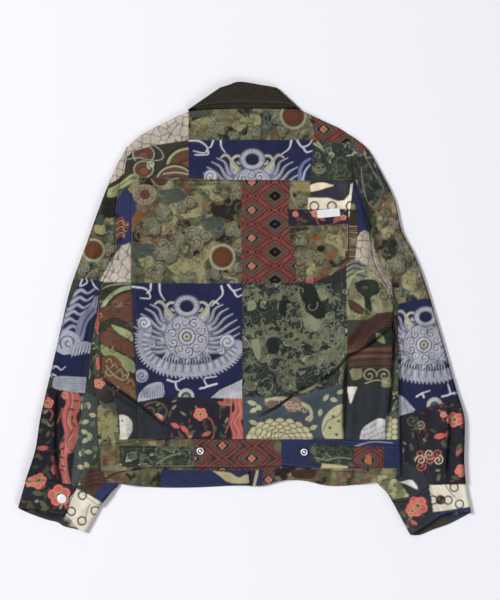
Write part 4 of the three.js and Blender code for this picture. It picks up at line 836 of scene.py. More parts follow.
on.line([[772, 1414], [762, 1460]], 8, "#b7a77e")
on = Patch([[788, 1412], [826, 1412], [826, 1480], [788, 1480]], "#241d20")
meander(on, 806, 1440, 60, 34)
on = Patch([[824, 1405], [1190, 1405], [1190, 1480], [824, 1480]], "#6b6748")
camouflage(on, 7.3)
on.many("#4f3a2c", [[870, 1412], [950, 1414], [940, 1436], [880, 1432]])

# Left sleeve
on = Patch([[322, 590], [300, 590], [236, 700], [200, 835], [300, 843], [320, 800], [340, 770], [350, 735],
    [344, 636], [352, 597], [372, 562], [345, 570]], "#62614a")
camouflage(on, 8.2, ((328, 748, 22), (310, 794, 20), (246, 806, 24), (300, 690, 16), (280, 826, 16)))
on.many("#2d2b26", [[312, 593], [348, 592], [346, 648], [326, 654], [302, 638]])
on.many("#a09b6c", [[330, 564], [350, 556], [350, 586], [322, 590]],
    [[280, 680], [309, 672], [316, 700], [290, 700]])
on.many("#49544c", [[296, 640], [310, 652], [306, 676], [286, 668]])
sun(on, 279, 750, 26)
on = Patch([[244, 832], [300, 843], [312, 846], [300, 893], [289, 948], [272, 1030], [262, 1140], [120, 1133],
    [140, 1060]], "#202544")
on.faded(0.72)
bolt(on, [[246, 838], [240, 858], [262, 846], [256, 834]], [[272, 838], [284, 860], [300, 872]],
    [[150, 1104], [170, 1100], [182, 1110], [196, 1100]], [[146, 1128], [160, 1124], [172, 1132]])
for k, (x, y) in enumerate(((262, 872), (258, 894), (250, 916), (238, 936), (228, 958), (236, 980))):
    on.line([[x - 46, y + 16], [x - 20, y - 2], [x, y + 8], [x + 22, y - 6]], 15, "#6c6f8c", 0.7)
    on.line([[x - 44, y + 14], [x - 18, y - 2], [x, y + 7], [x + 18, y - 4]], 8, "#a4a5b1", 0.7)
on.line([[236, 1010], [250, 960], [276, 930], [292, 900]], 30, "#8185a0", 0.2)
on.line([[240, 1006], [254, 962], [280, 928]], 5, "#484e75")
on.shape([[166, 1052], [176, 1010], [200, 992], [226, 1000], [240, 1030], [224, 1056], [190, 1064]],
    "#abacb9")
on.line(swirl(204, 1028, 26, 1.4, 2.4), 3.2, "#34395b")
on.line([[222, 1050], [250, 1040], [272, 1046]], 34, "#9798a5", 0.1)
for k in range(12):
    on.line([[214 + k * 5, 1070 - k], [222 + k * 5, 1046 - k]], 2, "#363a5b" if k % 2 else "#c2c2cb")
on = Patch([[160, 1133], [182, 1128], [258, 1132], [255, 1182], [180, 1176], [156, 1160]], "#8d9096")
on.faded(0.9)
for k in range(6):
    on.line([[164, 1140 + k * 6], [210, 1136 + k * 7], [258, 1140 + k * 6]], 1.6, "#6c7079")
on = Patch([[128, 1158], [181, 1171], [256, 1180], [240, 1196], [244, 1240], [223, 1360], [212, 1455],
    [70, 1450]], "#212028")
on.faded(0.82)
trunk(on, [[212, 1178], [220, 1210], [206, 1250], [216, 1300], [200, 1340]], 44)
trunk(on, [[200, 1330], [190, 1380], [200, 1450]], 22)
floral(on, ((143, 1209, 18), (194, 1186, 12), (118, 1440, 22), (92, 1444, 16)),
    ((118, 1262, 30, 0.1, "#5a5c45"), (104, 1296, 28, -0.3, "#4a4c37"), (112, 1346, 34, -0.1, "#b4574c"),
    (110, 1362, 26, 0.8, "#4e5038"), (160, 1392, 34, 1.5, "#a5504a"), (150, 1400, 30, 2.4, "#44462f"),
    (172, 1260, 26, 2.3, "#4e5038"), (140, 1312, 22, -1.2, "#585a40")),
    ([[150, 1230], [158, 1240], [150, 1262]], [[186, 1226], [176, 1258], [164, 1282]],
    [[172, 1436], [168, 1400], [158, 1370]]))
on.line([[172, 1180], [166, 1260], [168, 1340], [172, 1440]], 8, "#131317", cover=0.7)
on = Patch([[240, 1190], [262, 1180], [291, 1190], [294, 1316], [300, 1345], [262, 1410], [240, 1450],
    [214, 1455], [223, 1360], [244, 1240]], "#3d4440")
for k in range(26):
    leaf(on, 232 + (k * 29) % 56, 1196 + k * 9.5, 24, 13, k * 1.3, "#a19f7c" if k % 3 else "#5f6450",
        "#3e3a30")
on = Patch([[312, 846], [300, 893], [289, 948], [272, 1030], [262, 1182], [292, 1192], [345, 1170],
    [300, 1130], [296, 1000], [296, 850]], "#2b2f2a")
foliage(on, 21, 8, "#4e5742")
on.many("#a85046", [[288, 928], [302, 922], [300, 960], [290, 1000], [284, 980]],
    [[288, 1076], [302, 1072], [304, 1100], [292, 1108]])
bloom(on, 298, 1150, 17)
on.many("#3a2c2a", [[284, 1176], [330, 1168], [338, 1190], [300, 1196]])
on = Patch([[262, 1410], [300, 1345], [306, 1440], [318, 1450], [345, 1452], [300, 1520], [262, 1490],
    [214, 1460], [240, 1440]], "#303429")
foliage(on, 23, 7, "#57603f")
on = Patch([[267, 1405], [311, 1410], [320, 1446], [276, 1492], [240, 1450]], "#47332a")
for k in range(4):
    on.line([[262, 1420 + k * 14], [290, 1412 + k * 14], [318, 1424 + k * 12]], 2.4, "#2a2422")
on = Patch([[274, 1492], [320, 1448], [372, 1452], [300, 1524]], "#292f52")

# Left cuff
on = Patch([[70, 1440], [214, 1452], [232, 1474], [212, 1496], [204, 1560], [40, 1540]], "#232229")
floral(on, ((178, 1486, 34), (112, 1444, 24), (90, 1446, 16)), ((96, 1476, 36, 0.2, "#4e5038"),
    (120, 1500, 34, 0.9, "#565840"), (84, 1500, 30, 1.0, "#44462f"), (150, 1520, 30, 2.8, "#4e5038"),
    (196, 1510, 22, 1.2, "#b4574c"), (112, 1468, 30, -0.5, "#585a40")))
on = Patch([[212, 1492], [232, 1466], [262, 1482], [308, 1508], [262, 1602], [190, 1562], [204, 1530]],
    "#c9c0ad")
for x, y in ((247, 1486), (286, 1532), (246, 1562), (214, 1534)):
    on.disc(x, y, 12, "#2a2a2a", ring=4.5)
on.line([[272, 1512], [262, 1530], [258, 1560]], 2.2, "#38383a")
on = Patch([[50, 1530], [204, 1566], [190, 1590], [40, 1560]], "#2e352e")

# Right sleeve
on = Patch([[1064, 414], [1080, 420], [1112, 458], [1100, 466], [1080, 457]], "#7e3a36")
for k in range(6):
    on.line([[1064 + k * 8, 416 + k * 7], [1072 + k * 8, 440 + k * 7]], 2.2, "#2a2024")
on = Patch([[1072, 445], [1111, 455], [1180, 566], [1150, 617], [1119, 640], [1090, 610], [1076, 560],
    [1066, 500]], "#25292a")
foliage(on, 31, 14, "#484c41")
on.line([[1084, 500], [1090, 560], [1104, 604], [1122, 626]], 3.5, "#6c6f58")
on.line([[1096, 470], [1124, 520], [1146, 560]], 3, "#6c6f58")
smoke(on, 6)
on.line([[1120, 628], [1140, 600], [1150, 560], [1128, 520]], 4, "#57594a")
on.line([[1116, 624], [1136, 626], [1150, 600]], 8, "#5a3d30")
on = Patch([[1119, 640], [1150, 617], [1176, 566], [1210, 600], [1300, 880], [1296, 900], [1196, 912],
    [1176, 850], [1127, 753], [1108, 690]], "#5f5f47")
camouflage(on, 9.4, ((1180, 674, 24), (1184, 790, 36), (1230, 760, 26), (1162, 830, 20), (1256, 830, 26),
    (1150, 660, 14)))
on.many("#2e3029", [[1150, 726], [1176, 716], [1194, 730], [1186, 768], [1160, 780], [1148, 756]])
on.many("#a09b6c", [[1206, 830], [1236, 808], [1250, 836], [1240, 870], [1210, 862]],
    [[1142, 690], [1170, 678], [1180, 700], [1156, 716]], [[1172, 610], [1186, 604], [1196, 630],
    [1180, 640]])
smoke(on, 7)
on = Patch([[1196, 912], [1240, 900], [1300, 892], [1372, 1118], [1392, 1195], [1285, 1220], [1246, 1248],
    [1196, 1190]], "#202544")
crest(on, 1272, 1040, 0.92, 0.06)
bolt(on, [[1250, 1190], [1266, 1180], [1290, 1172]], [[1266, 1180], [1272, 1192]],
    [[1326, 1190], [1350, 1182], [1344, 1152]], [[1350, 1182], [1372, 1178]])
on.disc(1304, 1216, 24, "#a5a59c")
on.disc(1304, 1218, 14, "#444a58")
on = Patch([[1196, 1184], [1212, 1192], [1246, 1230], [1220, 1252], [1198, 1250]], "#989aa4")
for k in range(6):
    on.line([[1202 + k * 6, 1240 - k], [1210 + k * 6, 1210 + k * 4]], 1.8, "#575b6f")
on = Patch([[1200, 1248], [1246, 1234], [1285, 1220], [1392, 1195], [1402, 1320], [1400, 1458], [1290, 1458],
    [1273, 1418], [1216, 1390], [1204, 1320]], "#232229")
floral(on, ((1364, 1259, 24), (1384, 1412, 20), (1330, 1244, 10)),
    ((1300, 1312, 40, -0.2, "#b4574c"), (1322, 1330, 34, 0.4, "#4e5038"), (1344, 1290, 28, 1.6, "#a5504a"),
    (1370, 1370, 30, -1.3, "#a5504a"), (1352, 1430, 30, 0.2, "#4e5038"), (1230, 1330, 26, 1.2, "#4a4c3a"),
    (1236, 1290, 24, -0.4, "#4a4c3a"), (1380, 1330, 26, 1.9, "#4e5038"), (1320, 1420, 26, 1.9, "#585a40")),
    ([[1384, 1280], [1392, 1320], [1380, 1350]], [[1350, 1250], [1328, 1240], [1316, 1230]]))
for k in range(7):
    on.line(swirl(1262 + (k % 3) * 26, 1362 + (k // 3) * 18, 16, 1.4, k), 3, ("#a8554b", "#bfae92")[k % 2])
on.line(swirl(1236, 1262, 18, 1.4), 4, "#54493a")
on.line(swirl(1262, 1274, 14, 1.4, 2.0, -1), 3.5, "#8b7a64")
on.line([[1346, 1210], [1350, 1300], [1342, 1400]], 8, "#131317", cover=0.6)
on = Patch([[1200, 1390], [1273, 1418], [1290, 1452], [1288, 1474], [1240, 1490], [1180, 1446]], "#2e3136")
on.shape([[1200, 1448], [1236, 1441], [1254, 1468], [1230, 1458]], "#c3bfb6")
on = Patch([[1120, 1425], [1176, 1425], [1200, 1448], [1232, 1494], [1196, 1520], [1170, 1500]], "#666847")
for k in range(14):
    leaf(on, 1130 + k * 7, 1434 + (k * 31) % 60, 22, 11, k * 1.1, "#a19f7c", "#3e3a30")

# Right cuff
on = Patch([[1170, 1500], [1240, 1488], [1290, 1470], [1304, 1560], [1230, 1620]], "#2a2c31")
floral(on, ((1252, 1518, 32), (1236, 1532, 20)), ((1200, 1530, 30, 0.9, "#4e5038"),
    (1230, 1560, 26, 0.6, "#b4574c")))
on = Patch([[1288, 1455], [1404, 1452], [1424, 1530], [1302, 1546]], "#cbc2ae")
for x, y in ((1300, 1500), (1344, 1500), (1378, 1512), (1362, 1462)):
    on.disc(x, y, 12, "#2a2a2a", ring=4)
on.line([[1336, 1456], [1350, 1476], [1366, 1492]], 2.2, "#38383a")
on = Patch([[1300, 1536], [1424, 1518], [1424, 1546], [1300, 1566]], "#282c48")

# Cloth is not printed to a hard edge: the colours run a little into each other.
for axis in (0, 1):
    picture += 0.12 * (np.roll(picture, 1, axis) + np.roll(picture, -1, axis) - 2 * picture)


def printed(x, y):
    """The print's colours at plan points."""
    across = np.clip((x / PIXEL + PHOTO_ORIGIN[0]) * DRAW, 0, picture.shape[1] - 2)
    down = np.clip((PHOTO_ORIGIN[1] - y / PIXEL) * DRAW, 0, picture.shape[0] - 2)
    i, j = down.astype(int), across.astype(int)
    f, g = (down - i)[..., None], (across - j)[..., None]
    upper = picture[i, j] * (1 - g) + picture[i, j + 1] * g
    lower = picture[i + 1, j] * (1 - g) + picture[i + 1, j + 1] * g
    return upper * (1 - f) + lower * f


# Cotton canvas in a plain weave of 0.9 mm ribs, dyed with the print and washed: it looks matt, with
# fading in lumps of 18 mm (55 to the metre) and a grain of 1.1 mm (900 to the metre).
RIB = 0.9
RIB_SCALE = round(100 * math.pi / RIB)  # a wave texture has a band every 2 pi / 20 of a metre at scale 1
canvas, tree = material("patchwork_canvas")
dye = node(tree, "ShaderNodeVertexColor", {"layer_name": "print"})
place = node(tree, "ShaderNodeTexCoord")
faded = node(tree, "ShaderNodeTexNoise", Vector=place.outputs["Object"], Scale=55.0, Detail=4.0,
    Roughness=0.6)
grain = node(tree, "ShaderNodeTexNoise", Vector=place.outputs["Object"], Scale=900.0, Detail=2.0)
ribs = [
    node(tree, "ShaderNodeTexWave", {"bands_direction": way}, Vector=place.outputs["Object"], Scale=RIB_SCALE,
         Distortion=1.5, Detail=1.0, Detail_Scale=1.5).outputs["Fac"]
    for way in ("X", "Y")
]
weave = node(tree, "ShaderNodeMath", {"operation": "ADD"}, _0=ribs[0], _1=ribs[1])
tone = node(tree, "ShaderNodeMapRange", Value=faded.outputs["Fac"], From_Min=0.3, From_Max=0.7, To_Min=0.86,
    To_Max=1.16)
speck = node(tree, "ShaderNodeMapRange", Value=grain.outputs["Fac"], From_Min=0.3, From_Max=0.7, To_Min=0.88,
    To_Max=1.12)
rise = node(tree, "ShaderNodeMapRange", Value=weave.outputs[0], From_Min=0.0, From_Max=2.0, To_Min=0.90,
    To_Max=1.08)
level = node(tree, "ShaderNodeMath", {"operation": "MULTIPLY"}, _0=tone.outputs[0], _1=speck.outputs[0])
level = node(tree, "ShaderNodeMath", {"operation": "MULTIPLY"}, _0=level.outputs[0], _1=rise.outputs[0])
washed = node(tree, "ShaderNodeHueSaturation", Color=dye.outputs["Color"], Value=level.outputs[0],
    Saturation=0.96)
bump = node(tree, "ShaderNodeBump", Height=weave.outputs[0], Strength=0.35, Distance=0.0003)
cloth_shader = node(tree, "ShaderNodeBsdfPrincipled", Base_Color=washed.outputs[0], Roughness=0.9,
                    Specular_IOR_Level=0.12, Normal=bump.outputs[0])
node(tree, "ShaderNodeOutputMaterial", Surface=cloth_shader.outputs[0])

# Back panel
# The middle of the back, one cut of the patchwork between two long seams that run from the yoke to
# the waistband.
STEP = 1.5


class Seam:
    """A seam or edge in plan; at(t) gives its points at shares t of its length."""

    def __init__(self, points, soft=True):
        self.points = curve(points) if soft and len(points) > 2 else np.array(points, float)
        steps = np.linalg.norm(np.diff(self.points, axis=0), axis=1)
        self.along = np.concatenate([[0], np.cumsum(steps)])
        self.length = self.along[-1]

    def at(self, t):
        t = np.asarray(t, float) * self.length
        return np.stack([np.interp(t, self.along, self.points[:, k]) for k in (0, 1)], -1)

    def x_at(self, y):
        order = np.argsort(self.points[:, 1])
        return np.interp(y, self.points[order, 1], self.points[order, 0])


def joined(*seams):
    return Seam(np.vstack([seams[0].points, *(s.points[1:] for s in seams[1:])]), soft=False)


cap_left = Seam([[-214, 296], [-224, 243]])
cap_right = Seam([[194, 317], [201, 234]])
arm_left = Seam([[-224, 243], [-232, 214], [-237, 184], [-237, 137], [-239, 95], [-249, 67], [-264, 40]])
arm_right = Seam([[201, 234], [210, 210], [218, 184], [228, 161], [232, 137], [238, 87], [254, 53],
    [269, 29]])
side_left = Seam([[-264, 40], [-268, -4], [-271, -50], [-276, -123], [-272, -160], [-269, -220],
    [-267, -253]])
side_right = Seam(
    [[269, 29], [274, 5], [272, -18], [270, -35], [278, -55], [283, -77], [284, -160], [286, -254]]
)
band_end_left = Seam([[-267, -253], [-264, -297], [-257, -312]])
band_end_right = Seam([[286, -254], [287, -280], [287, -305]])
left_outline = joined(cap_left, arm_left, side_left, band_end_left)
right_outline = joined(cap_right, arm_right, side_right, band_end_right)
long_seam_left = Seam([[-207, 237], [-207, 45], [-201, -59], [-196, -169], [-194, -243]])
long_seam_right = Seam([[192, 234], [188, 106], [185, 14], [185, -77], [181, -242]])
panel_top = Seam([[-207, 237], [-102, 234], [2, 233], [124, 232], [192, 234]])
panel_bottom = Seam([[-194, -243], [-117, -240], [-7, -242], [84, -237], [181, -242]])

# The back's height above the table, and how much what lies beneath it adds.
FLAT = 6.6
TUCKED_SLEEVE = 7.4
COLLAR = 2.7
PLACKET = 2.8
PLACKET_X = 26
UNDERARM = {"left": 40, "right": 29}

# The folds that the jacket fell into when it was laid down, each a line in plan with a height and
# a half width.
FOLDS = (
    ([[205, 0], [180, -52], [150, -90], [110, -126], [62, -152], [20, -178]], 3.5, 17),
    ([[227, -13], [198, -59], [167, -99], [124, -136], [75, -165], [33, -191]], -2.4, 7),
    ([[212, -75], [207, -150], [205, -235]], 2.0, 14),
    ([[188, -77], [185, -132], [181, -236]], -2.0, 6),
    ([[260, -60], [259, -150], [250, -215]], 2.4, 9),
    ([[271, -68], [271, -151], [262, -200], [255, -242]], -1.6, 6),
    ([[-240, -125], [-205, -150], [-160, -184], [-118, -205]], 3.0, 14),
    ([[-256, -145], [-222, -168], [-180, -192], [-135, -222]], -2.0, 6),
    ([[-250, 10], [-250, -70]], 1.6, 7),
    ([[197, 258], [210, 210], [228, 161], [238, 87], [262, 40]], -2.6, 8),
    ([[186, 225], [200, 180], [212, 130], [218, 85], [240, 42]], 3.6, 11),
    ([[226, 235], [246, 180], [258, 130], [264, 85], [288, 40]], 3.4, 12),
    ([[-216, 280], [-228, 225], [-237, 160], [-240, 95]], -1.2, 7),
    ([[-252, 200], [-268, 140], [-276, 90], [-300, 0]], 2.0, 16),
    ([[-337, -160], [-340, -224], [-342, -316]], -2.4, 7),
    ([[-322, -150], [-322, -230], [-324, -310]], 2.2, 10),
    ([[381, -195], [377, -251], [373, -310]], -2.8, 7),
    ([[391, -200], [392, -300]], 1.6, 8),
    ([[360, -190], [356, -250], [352, -310]], 2.0, 11),
    ([[300, 60], [318, -20], [322, -100], [330, -170]], 2.2, 16),
    ([[-120, 180], [-60, 120], [-20, 60]], 1.4, 24),
    ([[60, 190], [90, 120], [120, 60]], 1.4, 24),
    # Sharp creases beside them, which the cloth presses into itself.
    ([[267, -38], [225, -71], [188, -93], [167, -117], [139, -134], [102, -152], [66, -178], [29, -199]],
     -6.5, 2.6),
    ([[262, -28], [222, -60], [188, -80], [164, -104], [135, -120], [98, -138], [62, -164]], 4.5, 9),
    ([[258, -58], [226, -86], [196, -108], [170, -136], [120, -162], [80, -186]], 1.8, 10),
    ([[-264, -129], [-239, -144], [-203, -169], [-172, -193], [-143, -216]], -6.5, 2.6),
    ([[-258, -117], [-233, -132], [-197, -157], [-166, -181]], 4.0, 8),
    ([[276, -46], [272, -138], [261, -229]], -4.6, 2.8),
    ([[264, -60], [260, -138], [250, -220]], 2.0, 8),
    ([[189, -90], [186, -150], [183, -236]], -6.0, 3.2),
    ([[198, -96], [196, -150], [193, -232]], 3.4, 7),
    ([[218, 184], [232, 142], [249, 82], [270, 30]], -4.4, 4),
    ([[226, 196], [242, 150], [256, 100], [276, 52], [284, 10]], -4.2, 9),
    ([[258, 190], [276, 130], [296, 80], [306, 30]], 2.6, 14),
    ([[-270, 96], [-280, 40], [-286, -30], [-282, -90]], -2.6, 7),
    ([[-246, 190], [-252, 130], [-262, 80], [-276, 50]], -3.2, 7),
    ([[330, -30], [312, -60], [298, -110], [290, -170]], -2.0, 9),
    ([[-342, -150], [-345, -235], [-344, -316]], -4.6, 2.8),
    ([[377, -205], [375, -250], [372, -312]], -4.6, 2.8),
    ([[-30, 228], [-80, 226], [-140, 230]], -0.8, 3),
    ([[-236, 60], [-226, 10], [-222, -40]], 1.2, 9),
    ([[-160, -190], [-150, -214], [-146, -238]], -1.4, 3),
    ([[-194, -236], [-188, -212], [-176, -196]], -1.0, 3),
    ([[140, -236], [148, -205], [166, -176]], 1.0, 10),
    ([[350, -10], [332, -60], [322, -120]], -1.2, 6),
    ([[-296, 60], [-306, 0], [-310, -60]], -1.2, 7),
    ([[-275, 170], [-288, 110], [-304, 60]], -0.9, 5),
    ([[262, 176], [276, 120], [300, 60]], -1.3, 5),
    ([[-366, -120], [-350, -150], [-336, -196]], -1.0, 4),
    ([[392, -110], [372, -140], [352, -176]], -1.1, 4),
)
FOLDS = [(curve(line, 4), height, width) for line, height, width in FOLDS]


def smooth(x, low, high):
    t = np.clip((x - low) / (high - low), 0, 1)
    return t * t * (3 - 2 * t)


def from_line(line, x, y):
    """Distance from points to a line in plan."""
    best = np.full(np.shape(x), np.inf)
    for (ax, ay), (bx, by) in zip(line[:-1], line[1:]):
        dx, dy = bx - ax, by - ay
        t = np.clip(((x - ax) * dx + (y - ay) * dy) / (dx * dx + dy * dy), 0, 1)
        best = np.minimum(best, np.hypot(x - ax - t * dx, y - ay - t * dy))
    return best


def ripple(x, y, size):
    """Small soft unevenness from 0 to 1."""
    return uneven(x / size + 40, y / size + 40)


def relief(x, y):
    total = np.zeros(np.shape(x))
    for line, height, width in FOLDS:
        low, high = line.min(0) - 3 * width, line.max(0) + 3 * width
        near = (x > low[0]) & (x < high[0]) & (y > low[1]) & (y < high[1])
        if near.any():
            to_end = np.minimum(*(np.hypot(x[near] - line[k][0], y[near] - line[k][1]) for k in (0, -1)))
            fade = 0.2 + 0.8 * smooth(to_end, 0, 30) if width < 7 else 1
            total[near] += height * fade * np.exp(-((from_line(line, x[near], y[near]) / width) ** 2))
    return total + 0.9 * (ripple(x, y, 34) - 0.5) + 0.5 * (ripple(x, y, 11) - 0.5)


def side_lift(x, y):
    """Over a sleeve that is tucked beneath the side of the body."""

    def shelf(inward, underarm):
        return TUCKED_SLEEVE * (1 - smooth(inward, 50, 90)) * (1 - smooth(y, underarm - 34, underarm - 2))

    inward = (x - left_outline.x_at(y), right_outline.x_at(y) - x)
    return np.maximum(shelf(inward[0], UNDERARM["left"]), shelf(inward[1], UNDERARM["right"]))


def collar_lift(x, y):
    return COLLAR * smooth(y, 225, 262) * (1 - smooth(np.abs(x), 125, 165))


def under(x, y):
    """Height of what the back lies on where it is pressed flat."""
    placket = PLACKET * (1 - smooth(np.abs(x - PLACKET_X), 30, 60))
    return np.maximum(np.maximum(side_lift(x, y), collar_lift(x, y)), placket)


def back_top(x, y):
    """Height of the outside of the back, with its folds and the hem's open mouth."""
    over_placket = PLACKET * (1 - smooth(np.abs(x - PLACKET_X), 30, 90))
    across = np.clip((x + 262) / 546, 0, 1)
    mouth = 7 * (1 - smooth(y, -290, -200)) * np.sin(np.pi * across) ** 0.6
    rest = np.maximum(side_lift(x, y), collar_lift(x, y)) + FLAT + np.maximum(over_placket, mouth)
    return np.maximum(rest + relief(x, y), under(x, y) + 1.8)


def spread(length, step, edge=(0, 0.6, 1.3, 2.2)):
    """Shares along a length: close together at both ends, then step apart."""
    inner = np.linspace(edge[-1], length - edge[-1], max(2, round((length - 2 * edge[-1]) / step)) + 1)
    return np.concatenate([edge[:-1], inner, [length - e for e in reversed(edge[:-1])]]) / length


laid = {}  # the points of each cloth, for its stitching
SOFT_EDGE = (0, 0.3, 0.8, 1.5, 2.4, 3.4, 4.4)  # millimetres in from an edge that turns over


def rubbed(z):
    """Dye is rubbed off where the cloth stands up and stays dark where it lies deep."""
    level = z
    for axis in (0, 1, 0, 1):
        level = sum(np.roll(level, shift, axis) for shift in (-2, -1, 0, 1, 2)) / 5
    tone = 1 + np.clip((z - level) * 0.55, -0.45, 0.12)
    tone[:3], tone[-3:], tone[:, :3], tone[:, -3:] = 0.85, 0.85, 0.85, 0.85
    return tone[..., None]


def cloth(name, rows, columns, place, replaces, finish=canvas, dyed=None):
    """A sheet from a grid; place(u, v) gives x, y and z at shares across and down."""
    across, down = len(columns) - 1, len(rows) - 1
    made = bmesh.new()
    bmesh.ops.create_grid(made, x_segments=across, y_segments=down, size=1)
    mesh = bpy.data.meshes.new(name)
    made.to_mesh(mesh)
    made.free()
    flat = np.empty(len(mesh.vertices) * 3)
    mesh.vertices.foreach_get("co", flat)
    flat = flat.reshape(-1, 3)
    j = np.rint((flat[:, 0] + 1) / 2 * across).astype(int)
    i = np.rint((1 - flat[:, 1]) / 2 * down).astype(int)
    x, y, z = place(np.asarray(columns)[None, :], np.asarray(rows)[:, None])
    grid = np.stack(np.broadcast_arrays(x, y, z), -1)
    spot = grid[i, j]
    laid[name] = grid
    deep = 1 + np.clip(relief(grid[..., 0], grid[..., 1]) * 0.07, -0.36, 0.08)[..., None]
    colours = ((dyed or printed)(grid[..., 0], grid[..., 1]) * rubbed(grid[..., 2]) * deep)[i, j]
    moved = (spot - [*MIDDLE, 0]) / 1000
    mesh.vertices.foreach_set("co", moved.astype(np.float32).ravel())
    layer = mesh.color_attributes.new("print", "FLOAT_COLOR", "POINT")
    layer.data.foreach_set("color", np.hstack([colours, np.ones((len(colours),
        1))]).astype(np.float32).ravel())
    mesh.polygons.foreach_set("use_smooth", np.ones(len(mesh.polygons), bool))
    mesh.update()
    made = bpy.data.objects.new(name, mesh)
    bpy.context.collection.objects.link(made)
    mesh.materials.append(finish)
    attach(made, "root")
    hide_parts(*replaces)
    return made


def between(left, right, top, bottom):
    """Plan of a panel between its four edges, as a function of shares across and down."""

    def plan(u, v):
        u, v = np.broadcast_arrays(u, v)
        ends = left.at(v) * (1 - u[..., None]) + right.at(v) * u[..., None]
        from_top = top.at(u) - (top.at(0.0) * (1 - u[..., None]) + top.at(1.0) * u[..., None])
        from_foot = bottom.at(u) - (bottom.at(0.0) * (1 - u[..., None]) + bottom.at(1.0) * u[..., None])
        p = ends + from_top * (1 - v[..., None]) + from_foot * v[..., None]
        return p[..., 0], p[..., 1]

    return plan


def in_seam(inward, depth=1.1, width=1.5):
    """How far the cloth dips where it is sewn, by distance from the seam."""
    return depth * np.exp(-((inward / width) ** 2))


panel_plan = between(long_seam_left, long_seam_right, panel_top, panel_bottom)


def panel_place(u, v):
    x, y = panel_plan(u, v)
    width, height = 385, 478
    dip = in_seam(np.minimum(u, 1 - u) * width) + in_seam(np.minimum(v, 1 - v) * height)
    return x, y, back_top(x, y) - dip


back_panel = cloth("back_panel_cloth", spread(478, STEP), spread(390, STEP), panel_place, ["back_panel"])

# Side panels of the back
# One each side of the panel, sewn to the sleeve along the armhole, and below it folded over to the
# front at the side.
side_top_left = Seam([[-224, 243], [-207, 237]])
side_top_right = Seam([[192, 234], [201, 234]])
side_bottom_left = Seam([[-267, -253], [-194, -243]])
side_bottom_right = Seam([[181, -242], [286, -254]])


def rolled(top, foot, inward, roll=4.0):
    """Height where the cloth turns over at a side, inward from its edge."""
    share = np.clip(1 - inward / roll, 0, 1)
    return foot + (top - foot) * np.sqrt(1 - share * share)


def side_panel(name, seam, arm, side, top, bottom, is_left):
    outer = joined(arm, side)
    turn = arm.length / outer.length
    plan = between(outer, seam, top, bottom) if is_left else between(seam, outer, top, bottom)

    def place(u, v):
        x, y = plan(u, v)
        from_edge = u if is_left else 1 - u
        edge = outer.at(v)
        inward = np.hypot(x - edge[..., 0], y - edge[..., 1])
        height = back_top(x, y)
        down = rolled(height, under(x, y), inward)
        folded = smooth(v, turn - 0.02, turn + 0.06)
        sewn = in_seam(inward, 1.4, 2.0) * (1 - folded)
        seam_dip = in_seam((1 - from_edge) * 75) + in_seam(np.minimum(v, 1 - v) * 490)
        return x, y, height * (1 - folded) + down * folded - sewn - seam_dip

    return cloth(f"{name}_cloth", spread(500, STEP), spread(84, STEP, SOFT_EDGE), place, [name])


side_panel_left = side_panel("side_back_left", long_seam_left, arm_left, side_left, side_top_left,
                             side_bottom_left, True)
side_panel_right = side_panel("side_back_right", long_seam_right, arm_right, side_right, side_top_right,
                              side_bottom_right, False)

# Yoke
# One wide cut over the shoulders. Its top edge is held in the collar, and at the shoulders it turns
# over to the front.
shoulder_left = Seam([[-214, 296], [-190, 316], [-154, 336], [-102, 360]])
shoulder_right = Seam([[101, 364], [148, 342], [176, 329], [194, 317]])
neck_back = Seam([[-102, 360], [-71, 363], [2, 364], [75, 364], [101, 364]])
yoke_top = joined(shoulder_left, neck_back, shoulder_right)
yoke_foot = joined(side_top_left, panel_top, side_top_right)


def yoke_place(u, v):
    u, v = np.broadcast_arrays(u, v)
    top, foot = yoke_top.at(u), yoke_foot.at(u)
    p = top * (1 - v[..., None]) + foot * v[..., None]
    x, y = p[..., 0], p[..., 1]
    deep = np.hypot(*(top - foot).transpose(2, 0, 1))
    height = back_top(x, y)
    turned = rolled(height, under(x, y), v * deep)
    neck = smooth(top[..., 0], -104, -92) * (1 - smooth(top[..., 0], 92, 104))
    dip = in_seam((1 - v) * deep, 0.5, 1.0) + in_seam(np.minimum(u, 1 - u) * 440)
    return x, y, np.maximum(turned * (1 - neck) + height * neck - dip, 0)


yoke = cloth("yoke_back_cloth", spread(130, STEP, SOFT_EDGE), spread(440, STEP),
             yoke_place, ["yoke_back"])

# Waistband
# Doubled canvas along the hem of the back, a little proud of the panels, whose lower fold is its
# edge and whose ends turn over to the front's band.
BAND = 2.4  # thickness of the doubled cloth
TURN = 0.1  # rows from 1 to this much past it turn over at the fold, and the rest are the inner side
TURN_ROWS = 1 + np.linspace(0.02, TURN, 5)
hem_back = Seam(
    [[-257, -312], [-236, -301], [-199, -293], [-145, -290], [-7, -291], [75, -288], [139, -295], [212, -299],
     [287, -305]]
)
band_top = joined(side_bottom_left, panel_bottom, side_bottom_right)
band_plan = between(band_end_left, band_end_right, band_top, hem_back)


def band_place(u, v):
    depth, past = np.clip(v, 0, 1), np.clip(v - 1, 0, 1)
    x, y = band_plan(u, depth)
    left, right = band_end_left.at(depth), band_end_right.at(depth)
    inward = np.minimum(np.hypot(x - left[..., 0], y - left[..., 1]),
        np.hypot(x - right[..., 0], y - right[..., 1]))
    height = back_top(x, y) + 0.4
    z = rolled(height, under(x, y) + 0.2, inward) - in_seam(depth * 50, 0.8, 1.2)
    angle = np.minimum(past / TURN, 1) * np.pi
    inner = np.maximum(past - TURN, 0) * 50
    return x, y - 1.2 * np.sin(angle) + inner + 0 * z, z - BAND / 2 * (1 - np.cos(angle))


band_rows = np.concatenate([spread(50, STEP), TURN_ROWS, [1.2, 1.35]])
waistband = cloth("waistband_back_cloth", band_rows, spread(556, STEP, SOFT_EDGE),
                  band_place, ["waistband_back"])

